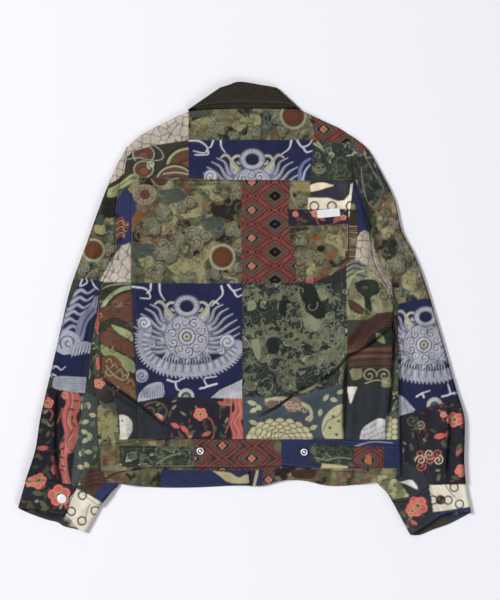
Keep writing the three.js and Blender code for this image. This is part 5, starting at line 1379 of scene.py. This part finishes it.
# Sleeves
# Each is a wide upper piece and a narrow under piece of the patchwork. Down to the underarm the top
# is sewn to the armhole; below it the sleeve folds over, runs in beneath the side of the body and
# comes out again above the cuff.
CLOTH = 1.6
ARM_ROWS = 6
ROWS = 18
CUFF_HEIGHT = 13
TURNS = np.linspace(-90, 90, 11)
sleeve_lines = {
    "left": {
        "outer": Seam([[-214, 296], [-236, 256], [-260, 197], [-291, 111], [-318, 36], [-337, -44],
                       [-353, -114], [-373, -202], [-382, -260], [-401, -319]]),
        "inner": Seam([[-264, 40], [-269, -4], [-266, -50], [-257, -123], [-247, -200], [-238, -260],
                       [-228, -321], [-242, -337], [-264, -364]]),
        "cuff": Seam([[-401, -319], [-364, -316], [-339, -321], [-309, -330], [-287, -346], [-264, -364]]),
        "arm": arm_left,
        "side": side_left,
        "seam": [[5.9, 1], [6, 0.955], [7, 0.93], [9, 0.79], [11, 0.67], [13, 0.58], [15, 0.53],
                 [16, 0.54], [18, 0.63]],
    },
    "right": {
        "outer": Seam([[194, 317], [225, 292], [249, 252], [276, 197], [289, 142], [313, 95], [333, 42],
                       [361, -50], [388, -147], [403, -198], [404, -242], [403, -279], [406, -323]]),
        "inner": Seam([[269, 29], [276, 6], [274, -18], [270, -50], [268, -90], [262, -150], [254, -210],
                       [247, -260], [242, -316], [262, -339], [273, -357]]),
        "cuff": Seam([[406, -323], [368, -321], [339, -326], [318, -344], [296, -355], [273, -357]]),
        "arm": arm_right,
        "side": side_right,
        "seam": [[5.9, 1], [6, 0.955], [7, 0.92], [9, 0.80], [11, 0.76], [13, 0.68], [15, 0.54],
                 [16, 0.49], [18, 0.47]],
    },
}
forearm_seam = [[5.9, 1], [6, 0.955], [7, 0.90], [8, 0.84], [9, 0.78], [18, 0.78]]


def table_at(table, row):
    return np.interp(row, *np.array(table).T)


def mixed(a, b, t):
    return a * (1 - t) + b * t


def ring(over, beneath, height, floor, shares, layers, angles, tall):
    """Points of a flattened tube: layers are -1 beneath, 0 on a fold and 1 on top."""
    width = np.linalg.norm(over(1.0) - over(0.0), axis=-1)
    radius = tall / 2
    inward = radius * (1 - np.cos(angles)) / width
    at = np.where(layers == 0, np.where(shares < 0.5, inward, 1 - inward), shares)
    low = (layers < 0) | ((layers == 0) & (angles < 0))
    plan = np.where(low[..., None], beneath(at), over(at))
    x, y = plan[..., 0], plan[..., 1]
    z = np.where(layers > 0, height(x, y), np.where(layers < 0, floor, floor + radius * (1 + np.sin(angles))))
    return x, y, z


def sleeve(side_name, is_upper):
    lines, underarm = sleeve_lines[side_name], UNDERARM[side_name]
    is_left = side_name == "left"

    def plan_at(row):
        def plan(share):
            share = np.broadcast_to(share, np.broadcast_shapes(np.shape(share), row.shape))
            to = np.where(
                (row <= ARM_ROWS)[..., None],
                lines["arm"].at(np.clip(row / ARM_ROWS, 0, 1)),
                lines["inner"].at(np.clip((row - ARM_ROWS) / 12, 0, 1)),
            )
            p = mixed(lines["outer"].at(row / ROWS), to, share[..., None])
            edge = lines["cuff"]
            bulge = edge.at(share) - mixed(edge.at(0.0), edge.at(1.0), share[..., None])
            return p + bulge * smooth(row / ROWS, 0.8, 1)[..., None]

        return plan

    def height_at(row):
        def height(x, y):
            side_x = lines["side"].x_at(y)
            inward = x - side_x if is_left else side_x - x
            tucked = smooth(inward, -30, -7) * (1 - smooth(y, underarm - 14, underarm + 8))
            tucked = tucked * smooth(y, -345, -322)
            v = row / ROWS
            loft = (CUFF_HEIGHT - FLAT) * smooth(v, 0.55, 1) + 1.2 * np.sin(np.pi * v)
            free = np.maximum(FLAT + loft + relief(x, y) * (1 - smooth(v, 0.93, 1)), 2 * CLOTH + 1)
            return mixed(free, 5.2, tucked)

        return height

    def place(u, v):
        row = (v * ROWS) if is_upper else ARM_ROWS + v * (ROWS - ARM_ROWS)
        plan, height = plan_at(row), height_at(row)
        width = np.linalg.norm(plan(1.0) - plan(0.0), axis=-1)
        fold = 0.0 if is_upper else 1.0
        near = plan(np.abs(fold - 6 / width))
        tall = height(near[..., 0], near[..., 1])
        bend = (tall / 2 + 1.2) / width
        far = plan(1 - 6 / width)
        flat = 1 - (height(far[..., 0], far[..., 1]) / 2 + 1.2) / width - 0.02
        sewn = 1 - 0.2 / width
        seam = np.where(row < 5.9, sewn, np.minimum(table_at(lines["seam"], row), flat))
        forearm = np.where(row < 5.9, sewn, np.minimum(table_at(forearm_seam, row), flat))
        inside = bend if is_upper else 1 - bend
        shares = np.where(u < 1, mixed(forearm, inside, u), np.where(u > 2, mixed(inside, seam, u - 2), fold))
        layers = np.where(u <= 1, -1, np.where(u >= 2, 1, 0)) + 0 * row
        angles = np.radians((u - 1) * 180 - 90) + 0 * row
        x, y, z = ring(plan, plan, height, 0.0, shares + 0 * row, layers, angles, tall)
        dip = np.where(layers > 0, in_seam(np.abs(seam - shares) * width, 1.2, 1.6), 0)
        dip = dip + np.where(layers > 0, in_seam(np.minimum(v if is_upper else 1, 1 - v) * 640, 1.2, 1.8), 0)
        return x, y, np.maximum(z - dip, 0)

    wide = 84 if is_upper else 60
    columns = np.concatenate([np.linspace(0, 0.98, 14), 1 + (TURNS + 90) / 180, 2 + spread(wide, STEP)[1:]])
    length = 640 if is_upper else 415
    name = f"sleeve_{'upper' if is_upper else 'under'}_{side_name}"
    shaped = place if is_upper == is_left else lambda u, v: place(u[:, ::-1], v)
    return cloth(f"{name}_cloth", spread(length, STEP), columns, shaped, [name])


for side_name, area in (("left", 0.088), ("right", 0.110)):
    upper = sleeve(side_name, True)
    lower = sleeve(side_name, False)

# Cuffs
# A doubled band round each wrist. Its outer end laps over the inner end and buttons down, and the
# mouth stands open.
cuff_ends = {
    "left": (
        Seam([[-414, -366], [-375, -368], [-346, -376], [-322, -381], [-302, -404], [-290, -411]]),
        Seam([[-414, -367], [-400, -374], [-362, -388], [-342, -393], [-331, -400],
              [-302, -407], [-290, -412]]),
        0.63,
    ),
    "right": (
        Seam([[416, -374], [387, -372], [364, -377], [340, -392], [304, -415]]),
        Seam([[416, -375], [375, -396], [344, -407], [322, -416], [304, -416]]),
        0.47,
    ),
}


def hemmed(place, turn=1.2, side=1):
    """Rows past 1 turn over at the mouth and go back up inside, a doubled wall away."""

    def inside(u, v):
        past = np.clip(v - 1, 0, 1)
        angle = np.minimum(past / TURN, 1) * np.pi
        back = np.maximum(past - TURN, 0)
        v = np.broadcast_to(v, np.broadcast_shapes(u.shape, v.shape))
        x, y, z = place(u, np.clip(v, 0, 1) - back)
        ahead = place(u, np.clip(v, 0, 1) - back - 0.05)
        way = np.stack([x - ahead[0], y - ahead[1]], -1)
        way = way / np.maximum(np.linalg.norm(way, axis=-1, keepdims=True), 1e-6)
        across = np.stack(np.broadcast_arrays(x, y, z), -1)
        run = np.gradient(across, axis=1)
        facing = np.cross(np.concatenate([-way, 0 * way[..., :1]], -1), run)
        facing = facing / np.maximum(np.linalg.norm(facing, axis=-1, keepdims=True), 1e-6)
        inner = facing * side * turn * (1 - np.cos(angle))[..., None]
        ahead = way * turn * np.sin(angle)[..., None]
        return x + ahead[..., 0] + inner[..., 0], y + ahead[..., 1] + inner[..., 1], z + inner[..., 2]

    return inside


def blended(a, b, v):
    """Line at share v of the way from line a to line b."""

    def line(share):
        share = np.broadcast_to(share, np.broadcast_shapes(np.shape(share), v.shape))
        return mixed(a.at(share), b.at(share), v[..., None])

    return line


def ring_columns(first, across, last):
    """Columns of a ring that is pressed flat: an end, a fold, the whole width, a fold and an end."""
    fold = np.linspace(0.05, 0.95, 9)
    return np.concatenate([first, 1 + fold, 2 + np.linspace(0, 1, across), 3 + fold, 4 + last])


def ring_shares(u, start, end, bend, fold, layer):
    """Share across, layer and angle for ring_columns; the first end is on layer, the first fold at fold."""
    near, far = (1 - bend, bend) if fold else (bend, 1 - bend)
    parts = [u <= 1, u < 2, u <= 3, u < 4]
    places = [mixed(start, near, u), fold + 0 * bend, mixed(near, far, u - 2), 1 - fold + 0 * bend]
    shares = np.select(parts, places, mixed(far, end, u - 4))
    layers = np.select(parts, [layer, 0, -layer, 0], layer) + 0 * shares
    turns = [layer * (90 - (u - 1) * 180), -layer * (90 - (u - 3) * 180)]
    angles = np.radians(np.select([(u > 1) & (u < 2), (u > 3) & (u < 4)], turns, 0.0)) + 0 * shares
    return shares, layers, angles


def cuff(side_name):
    top, (near, far, flap) = sleeve_lines[side_name]["cuff"], cuff_ends[side_name]
    is_left = side_name == "left"

    def place(u, v):
        tall = CUFF_HEIGHT + 2 * v
        over, beneath = blended(top, near, v), blended(top, far, v)
        width = np.linalg.norm(over(1.0) - over(0.0), axis=-1)
        bend = (tall / 2 + 1.2) / width
        shares, layers, angles = ring_shares(u, flap - 0.1, flap, bend, 1, 1)
        lowered = np.where(u <= 1, 3.0 * (1 - smooth(shares, flap + 0.02, 0.9 - 0.1 * flap)), 0)
        x, y, z = ring(over, beneath, lambda x, y: tall + 0 * x, 0.0, shares, layers, angles,
            tall + 0 * shares)
        dip = np.where(layers > 0, in_seam(v * 50, 1.0, 1.4) + lowered, 0)
        rim = 1 - np.sqrt(np.clip(1 - ((u - 4.9) / 0.1) ** 2, 0, 1))
        return x, y, z - dip - np.where((u > 4.9) & (layers > 0), 0.9 * rim, 0)

    span = 110 / STEP
    flap_end = np.concatenate([np.linspace(0, 0.9, round(0.6 * span)), np.linspace(0.92, 1, 5)])
    columns = ring_columns(np.linspace(0, 1, round(0.45 * span)), 30, flap_end)
    rows = np.concatenate([spread(52, STEP), TURN_ROWS, [1.2, 1.4, 1.7]])
    shaped = hemmed(place, side=1 if is_left else -1)
    return cloth(f"cuff_{side_name}_cloth", rows, columns, shaped, [f"cuff_{side_name}"])


for side_name in ("left", "right"):
    cuff(side_name)

# Collar
# A stand sewn to the neck and a fall turned down over it, both of plain dark cotton, doubled. They
# are rings pressed flat, open at the centre front.

# Dyed cotton twill, worn pale in lumps of 14 mm, with diagonal ridges 1.2 mm apart that catch a
# little light.
collar_cloth, tree = material("dark_cotton_twill")
place = node(tree, "ShaderNodeTexCoord")
worn = node(tree, "ShaderNodeTexNoise", Vector=place.outputs["Object"], Scale=70.0, Detail=5.0,
    Roughness=0.65)
ridge = node(tree, "ShaderNodeTexWave", {"bands_direction": "DIAGONAL"}, Vector=place.outputs["Object"],
    Scale=260.0, Distortion=1.0)
shade = node(tree, "ShaderNodeMixRGB", Fac=worn.outputs["Fac"], Color1=(*linear("#1a1713"), 1),
             Color2=(*linear("#352e26"), 1))
bump = node(tree, "ShaderNodeBump", Height=ridge.outputs["Fac"], Strength=0.3, Distance=0.0003)
dark = node(tree, "ShaderNodeBsdfPrincipled", Base_Color=shade.outputs[0], Roughness=0.9,
    Specular_IOR_Level=0.15, Normal=bump.outputs[0])
node(tree, "ShaderNodeOutputMaterial", Surface=dark.outputs[0])


def crown(share):
    """A quarter round from 0 to 1."""
    return np.sqrt(np.clip(1 - (1 - np.clip(share, 0, 1)) ** 2, 0, 1))


def collar_piece(name, back, front, levels, columns_across, mouth):
    """levels gives the floor and the height by share down; back and front are their lines at 0 and 1."""
    centre = [line.along[np.argmin(np.abs(line.points[:, 0] - PLACKET_X))] / line.length for line in front]

    def place(u, v):
        over, beneath = blended(*back, v), blended(*front, v)
        floor, tall = levels(v)
        width = np.linalg.norm(over(1.0) - over(0.0), axis=-1)
        bend = (tall / 2 + 1.2) / width
        middle = mixed(centre[0], centre[1], v)
        shares, layers, angles = ring_shares(u, middle - 0.004, middle + 0.004, bend, 0, -1)
        level = floor + 0 * shares
        return ring(over, beneath, lambda x, y: floor + tall + 0 * x, level, shares, layers, angles,
            tall + 0 * shares)

    columns = ring_columns(np.linspace(0, 1, 20), columns_across, np.linspace(0, 1, 20))
    rows = np.concatenate([[0, 0.012, 0.03, 0.055, 0.085, 0.12], np.linspace(0.15, 1, 30)])
    if mouth:
        rows = np.concatenate([rows, TURN_ROWS, [1.2, 1.4]])
    made = cloth(f"{name}_cloth", rows, columns, hemmed(place) if mouth else place, [name], collar_cloth)


collar_piece(
    "collar_stand",
    (Seam([[-50, 391], [-27, 396], [-10, 400], [32, 395], [50, 392], [64, 390]]),
     Seam([[-95, 363], [-71, 365], [2, 366], [75, 366.5], [94, 367]])),
    (Seam([[-50, 391], [-38, 362], [-3, 345], [26, 341], [50, 353], [64, 390]]),
     Seam([[-95, 363], [-76, 339], [-30, 316], [26, 310], [66, 322], [94, 367]])),
    lambda v: (2.7 + 0 * v, FLAT + 0 * v), 80, False,
)
collar_piece(
    "collar_fall",
    (Seam([[-45, 403], [-29, 408], [-11, 414], [33, 408], [46, 406], [61, 403]]),
     Seam([[-102, 364], [-71, 371], [-44, 374], [-7, 375], [33, 374], [75, 373], [101, 366]])),
    (Seam([[-45, 403], [-30, 368], [0, 354], [26, 352], [46, 364], [61, 403]]),
     Seam([[-102, 364], [-90, 326], [-62, 300], [-20, 286], [26, 285], [64, 294], [90, 326], [101, 366]])),
    lambda v: (2.4 * (1 - crown(v / 0.12)), 12 - 4.8 * (1 - crown(v / 0.12))), 120, True,
)

# Fronts and their waistband
# They lie on the table under the back. The left one laps over the right one and takes the buttons.
front_band_top = Seam([[-263, -264], [-227, -272], [-172, -279], [-99, -280], [-7, -277], [75, -270],
                       [157, -277], [212, -274], [285, -258]])
front_hem = Seam([[-256, -314], [-227, -321], [-172, -328], [-99, -329], [-7, -325], [33, -325], [75, -315],
                  [112, -317], [157, -326], [212, -323], [249, -316], [286, -308]])
front_neck = Seam([[-102, 360], [-80, 335], [-30, 312], [26, 306], [70, 318], [101, 364]])


def cut_at(seam, x, before):
    """The stretch of a line before or after a place across."""
    y = np.interp(x, seam.points[:, 0], seam.points[:, 1])
    kept = [p for p in seam.points if (p[0] < x - 0.5 if before else p[0] > x + 0.5)]
    return Seam([*kept, [x, y]] if before else [[x, y], *kept], soft=False)


def lowered(seam, by):
    return Seam(seam.points - [0, by], soft=False)


def inset(seam, by):
    return Seam(seam.points + [by, 0], soft=False)


FRONT_EDGE = {True: 44, False: 7}  # where the left and the right front end, across


def lapped(x):
    """Share of the height that the right front rises where it lies over the left one's edge."""
    return 1 - smooth(x - FRONT_EDGE[False], 66, 102)


def front(name, is_left):
    x_edge = FRONT_EDGE[is_left]
    neck = cut_at(lowered(front_neck, 3.6), x_edge, is_left)
    shoulder = lowered(shoulder_left if is_left else shoulder_right, 3.6)
    top = joined(shoulder, neck) if is_left else joined(neck, shoulder)
    side = joined(cap_left, arm_left, side_left) if is_left else joined(cap_right, arm_right, side_right)
    outer, inner, narrower = (0, -1, 2.6) if is_left else (-1, 0, -2.6)
    side = inset(side, narrower)
    foot = cut_at(front_band_top, x_edge, is_left)
    middle = Seam([top.points[inner], foot.points[inner]])
    side = [top.points[outer], side.points[1:-1], foot.points[outer] + [narrower, 0]]
    side = Seam(np.vstack(side), soft=False)
    plan = between(side, middle, top, foot) if is_left else between(middle, side, top, foot)

    def place(u, v):
        x, y = plan(u, v)
        if is_left:
            return x, y, under(x, y)
        lap = 4.7 * lapped(x)
        return x, y, np.maximum(np.maximum(side_lift(x, y), collar_lift(x, y)), lap)

    rows, columns = (spread(length, STEP * 2.4) for length in (600, 300))
    return cloth(f"{name}_cloth", rows, columns, place, [name], dyed=lambda x, y: printed(-x, y))


front("front_left", True)
front("front_right", False)


def front_band(name, is_left):
    x_edge = FRONT_EDGE[is_left]
    top = lowered(cut_at(front_band_top, x_edge, is_left), 0.6)
    foot = cut_at(front_hem, x_edge, is_left)
    ends = [Seam([top.points[k], foot.points[k]]) for k in (0, -1)]
    plan = between(*ends, top, foot)

    def place(u, v):
        past = np.clip(v - 1, 0, 1)
        depth = np.clip(v, 0, 1) - np.maximum(past - TURN, 0)
        x, y = plan(u, depth)
        low = under(x, y) if is_left else np.maximum(side_lift(x, y), 5.5 * lapped(x))
        angle = np.minimum(past / TURN, 1) * np.pi
        dip = in_seam(depth * 47, 0.8, 1.2)
        return x, y - 1.2 * np.sin(angle), low + BAND - np.where(past > 0, 0,
            dip) - BAND / 2 * (1 - np.cos(angle))

    rows = np.concatenate([spread(47, STEP), TURN_ROWS, 1.1 + np.linspace(0.1, 0.88, 10)])
    made = cloth(f"{name}_cloth", rows, spread(290, STEP), place, [name])


front_band("waistband_front_left", True)
front_band("waistband_front_right", False)


# Adjuster tabs and label
# Doubled tabs sewn to the waistband at their outer ends and buttoned at the inner ones, and a blank
# woven label sewn to the back panel.


def laid_on(name, corners, surface, thick, replaces, finish=canvas):
    """A small flat piece on the cloth below it, with a soft edge."""
    (ax, ay), (bx, by), (cx, cy), (dx, dy) = corners
    wide, deep = np.hypot(bx - ax, by - ay), np.hypot(dx - ax, dy - ay)

    def place(u, v):
        u, v = np.broadcast_arrays(u, v)
        lip = np.minimum(np.minimum(u, 1 - u) * wide, np.minimum(v, 1 - v) * deep)
        top_x, top_y = mixed(ax, bx, u), mixed(ay, by, u)
        low_x, low_y = mixed(dx, cx, u), mixed(dy, cy, u)
        x, y = mixed(top_x, low_x, v), mixed(top_y, low_y, v)
        return x, y, surface(x, y) + 0.45 + thick * (0.1 + 0.9 * crown(lip / 1.3))

    rows, columns = (spread(size, STEP * 0.6, (0, 0.12, 0.3, 0.6, 1.3)) for size in (deep, wide))
    made = cloth(name, rows, columns, place, replaces, finish)


def band_surface(x, y):
    return back_top(x, y) + 0.4


laid_on("adjuster_tab_left_cloth", [[-223, -255], [-97, -258], [-97, -286], [-223, -288]], band_surface, 2,
        ["adjuster_tab_left"])
laid_on("adjuster_tab_right_cloth", [[123, -252], [253, -258], [253, -290], [123, -280]], band_surface, 2,
        ["adjuster_tab_right"])

# Satin-woven polyester tape: off-white with a faint sheen.
label_cloth, tree = material("woven_label")
white = node(tree, "ShaderNodeBsdfPrincipled", Base_Color=(*linear("#cccbca"), 1), Roughness=0.6)
node(tree, "ShaderNodeOutputMaterial", Surface=white.outputs[0])
laid_on("label_cloth", [[134, 179], [175, 183], [177, 168], [135, 164]], back_top, 0.8, ["label"],
        label_cloth)

# Topstitching
# Lock stitches of thick khaki cotton thread, 3.2 mm long every 4 mm, in rows beside the seams and along
# the edges. Each stitch bulges in its middle and sinks into the cloth at both ends.

# Spun cotton thread: matt, with the light and dark of its twist about 0.7 mm apart.
thread, tree = material("khaki_cotton_thread")
twist = node(tree, "ShaderNodeTexNoise", Vector=node(tree, "ShaderNodeTexCoord").outputs["Object"],
    Scale=1500.0)
shade = node(tree, "ShaderNodeMixRGB", Fac=twist.outputs["Fac"], Color1=(*linear("#4c4839"), 1),
             Color2=(*linear("#7d755f"), 1))
strand = node(tree, "ShaderNodeBsdfPrincipled", Base_Color=shade.outputs[0], Roughness=0.7,
    Specular_IOR_Level=0.3)
node(tree, "ShaderNodeOutputMaterial", Surface=strand.outputs[0])
STITCH = np.array([
    [-1.6, 0, -0.2], [-1.0, -0.3, -0.2], [-1.0, 0, 0.32], [-1.0, 0.3, -0.2],
    [1.0, -0.3, -0.2], [1.0, 0, 0.32], [1.0, 0.3, -0.2], [1.6, 0, -0.2],
])
STITCH_FACES = np.array([
    [0, 1, 2], [0, 2, 3], [0, 3, 1], [1, 4, 5], [1, 5, 2], [2, 5, 6], [2, 6, 3], [3, 6, 4], [3, 4, 1],
    [7, 5, 4], [7, 6, 5], [7, 4, 6],
])
STITCH_PITCH = 4.0
stitches = []


def unit(vectors):
    return vectors / np.linalg.norm(vectors, axis=-1, keepdims=True)


def run_of_stitches(name, edge, away, span=(0, 1), start=0):
    """Stitches along an edge of a cloth's grid and some way in from it; start skips rows past the edge."""
    grid = laid[f"{name}_cloth"]
    grid = grid if edge in ("top", "foot") else grid.transpose(1, 0, 2)
    grid = grid[::-1] if edge in ("foot", "right") else grid
    grid = grid[start:]
    first, last = (int(round(share * (grid.shape[1] - 1))) for share in span)
    grid = grid[:, first : last + 1]
    depth = np.concatenate([0 * grid[:1, :, 0], np.cumsum(np.linalg.norm(np.diff(grid, axis=0), axis=-1), 0)])
    up = np.cross(np.gradient(grid, axis=0), np.gradient(grid, axis=1))
    up = up / np.maximum(np.linalg.norm(up, axis=-1, keepdims=True), 1e-9)
    up = up * np.sign(up.reshape(-1, 3)[grid[..., 2].argmax(), 2])

    def inwards(values):
        columns = range(grid.shape[1])
        return np.array([[np.interp(away, depth[:, k], values[:, k, axis]) for axis in range(3)]
            for k in columns])

    line, face = inwards(grid), inwards(up)
    along = np.concatenate([[0], np.cumsum(np.linalg.norm(np.diff(line, axis=0), axis=-1))])
    if along[-1] < 8:
        return
    at = np.arange(2 + STITCH_PITCH / 2, along[-1] - 2, STITCH_PITCH)

    def sample(values, where):
        return np.stack([np.interp(where, along, values[:, axis]) for axis in range(3)], -1)

    middle, out = sample(line, at), sample(face, at)
    way = unit(sample(line, at + 1.5) - sample(line, at - 1.5))
    out = unit(out - (out * way).sum(-1, keepdims=True) * way)
    axes = np.stack([way, np.cross(out, way), out], 1)
    stitches.append(middle[:, None] + np.einsum("sk,nkc->nsc", STITCH, axes))


for away in (1.8, 7.5):
    run_of_stitches("back_panel", "left", away)
    run_of_stitches("back_panel", "right", away)
    run_of_stitches("yoke_back", "foot", away)
for side_name, arm, side in (("left", arm_left, side_left), ("right", arm_right, side_right)):
    for away in (2.4, 8):
        run_of_stitches(f"side_back_{side_name}", side_name, away, (0, arm.length / joined(arm, side).length))
run_of_stitches("waistband_back", "top", 1.8)
run_of_stitches("waistband_back", "foot", 2.2, start=7)
for side_name in ("left", "right"):
    run_of_stitches(f"cuff_{side_name}", "top", 1.8)
    run_of_stitches(f"cuff_{side_name}", "foot", 2.2, start=8)
    run_of_stitches(f"cuff_{side_name}", "right", 2.6, (0, 0.8))
    run_of_stitches(f"waistband_front_{side_name}", "foot", 2.2, start=15)
    for away in (1.8, 7.5):
        run_of_stitches(f"sleeve_upper_{side_name}", "right" if side_name == "left" else "left", away,
            (0.335, 1))
    for edge in ("left", "right", "top", "foot"):
        run_of_stitches(f"adjuster_tab_{side_name}", edge, 2.4)
run_of_stitches("collar_fall", "foot", 4, start=7)
corners = np.concatenate(stitches)
corners[..., 2] = np.maximum(corners[..., 2], 0)  # pressed flat where the jacket lies on the table
sewn = bpy.data.meshes.new("topstitching")
count = len(corners)
points = ((corners.reshape(-1, 3) - [*MIDDLE, 0]) / 1000).tolist()
faces = (STITCH_FACES[None] + 8 * np.arange(count)[:, None, None]).reshape(-1, 3).tolist()
sewn.from_pydata(points, [], faces)
sewn.polygons.foreach_set("use_smooth", np.ones(len(sewn.polygons), bool))
sewn.materials.append(thread)
topstitching = bpy.data.objects.new("topstitching", sewn)
bpy.context.collection.objects.link(topstitching)
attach(topstitching, "root")

# Buttons
# Pressed metal tack buttons: a rim rolled over a dished face. Those not in use show a bright rim
# with the end of the tack in the middle.

# Brass plated with nickel and polished, then a brass darkened in a bath and rubbed pale in spots of
# 1.7 mm. The nickel is kept mostly diffuse, because it has only the pale room to mirror.
silver, tree = material("polished_nickel")
metal = node(tree, "ShaderNodeBsdfPrincipled", Base_Color=(*linear("#e6e6ea"), 1), Metallic=0.35,
    Roughness=0.3)
node(tree, "ShaderNodeOutputMaterial", Surface=metal.outputs[0])
bronze, tree = material("darkened_brass")
place = node(tree, "ShaderNodeTexCoord")
tarnish = node(tree, "ShaderNodeTexNoise", Vector=place.outputs["Object"], Scale=600.0, Detail=3.0)
shade = node(tree, "ShaderNodeMixRGB", Fac=tarnish.outputs["Fac"], Color1=(*linear("#1d1a17"), 1),
             Color2=(*linear("#5a5145"), 1))
metal = node(tree, "ShaderNodeBsdfPrincipled", Base_Color=shade.outputs[0], Metallic=0.8, Roughness=0.45)
node(tree, "ShaderNodeOutputMaterial", Surface=metal.outputs[0])

# Profiles from the foot's middle over the rim to the face's middle: shares of the radius, and heights
# in millimetres of a button 2.5 mm high.
BUTTON_HEIGHT = 2.5
SIDE = ((0, 0), (0.62, 0), (0.86, 0.25), (0.97, 0.8), (1, 1.3))
DISHED = (*SIDE, (0.97, 1.9), (0.9, 2.35), (0.8, 2.5), (0.72, 2.4), (0.67, 2.1), (0.64, 1.75), (0.5, 1.7),
    (0.3, 1.8), (0.26, 2.05), (0.16, 2.2), (0, 2.25))
DOMED = (*SIDE, (0.97, 1.8), (0.88, 2.15), (0.7, 2.35), (0.4, 2.45), (0, 2.5))


def spun(name, profile, finish, inner=None):
    """A button turned from its profile, face up unless it lies under the front."""
    (x0, y0, z0), (x1, y1, z1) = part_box(name)
    r = (x1 - x0) / 2
    made = bmesh.new()
    last = None
    for share, height in profile:
        corner = made.verts.new((share * r, 0, height / BUTTON_HEIGHT * (z1 - z0)))
        if last:
            made.edges.new((last, corner))
        last = corner
    bmesh.ops.spin(made, geom=made.verts[:] + made.edges[:], cent=(0, 0, 0), axis=(0, 0, 1),
        angle=2 * math.pi, steps=36)
    bmesh.ops.remove_doubles(made, verts=made.verts, dist=1e-6)
    if name.startswith("front"):
        bmesh.ops.rotate(made, verts=made.verts, matrix=Matrix.Rotation(math.pi, 3, "X"))
        bmesh.ops.translate(made, verts=made.verts, vec=(0, 0, z1 - z0))
    bmesh.ops.translate(made, verts=made.verts, vec=((x0 + x1) / 2, (y0 + y1) / 2, z0))
    bmesh.ops.recalc_face_normals(made, faces=made.faces)
    mesh = bpy.data.meshes.new(name)
    made.to_mesh(mesh)
    made.free()
    mesh.materials.append(finish)
    if inner:
        mesh.materials.append(inner)
        middle = np.array([(x0 + x1) / 2, (y0 + y1) / 2])
        for face in mesh.polygons:
            away = np.linalg.norm(np.array(face.center[:2]) - middle) / r
            face.material_index = int(0.28 < away < 0.66)
    mesh.polygons.foreach_set("use_smooth", np.ones(len(mesh.polygons), bool))
    button = bpy.data.objects.new(f"{name}_metal", mesh)
    bpy.context.collection.objects.link(button)
    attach(button, "root")
    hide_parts(name)


spun("cuff_button_left", DOMED, silver)
spun("cuff_button_right", DISHED, bronze)
for side_name in ("left", "right"):
    spun(f"tab_button_{side_name}", DISHED, bronze)
    spun(f"spare_button_{side_name}", DISHED, silver, bronze)
for k in range(6):
    spun(f"front_button_{k + 1}", DISHED, bronze)
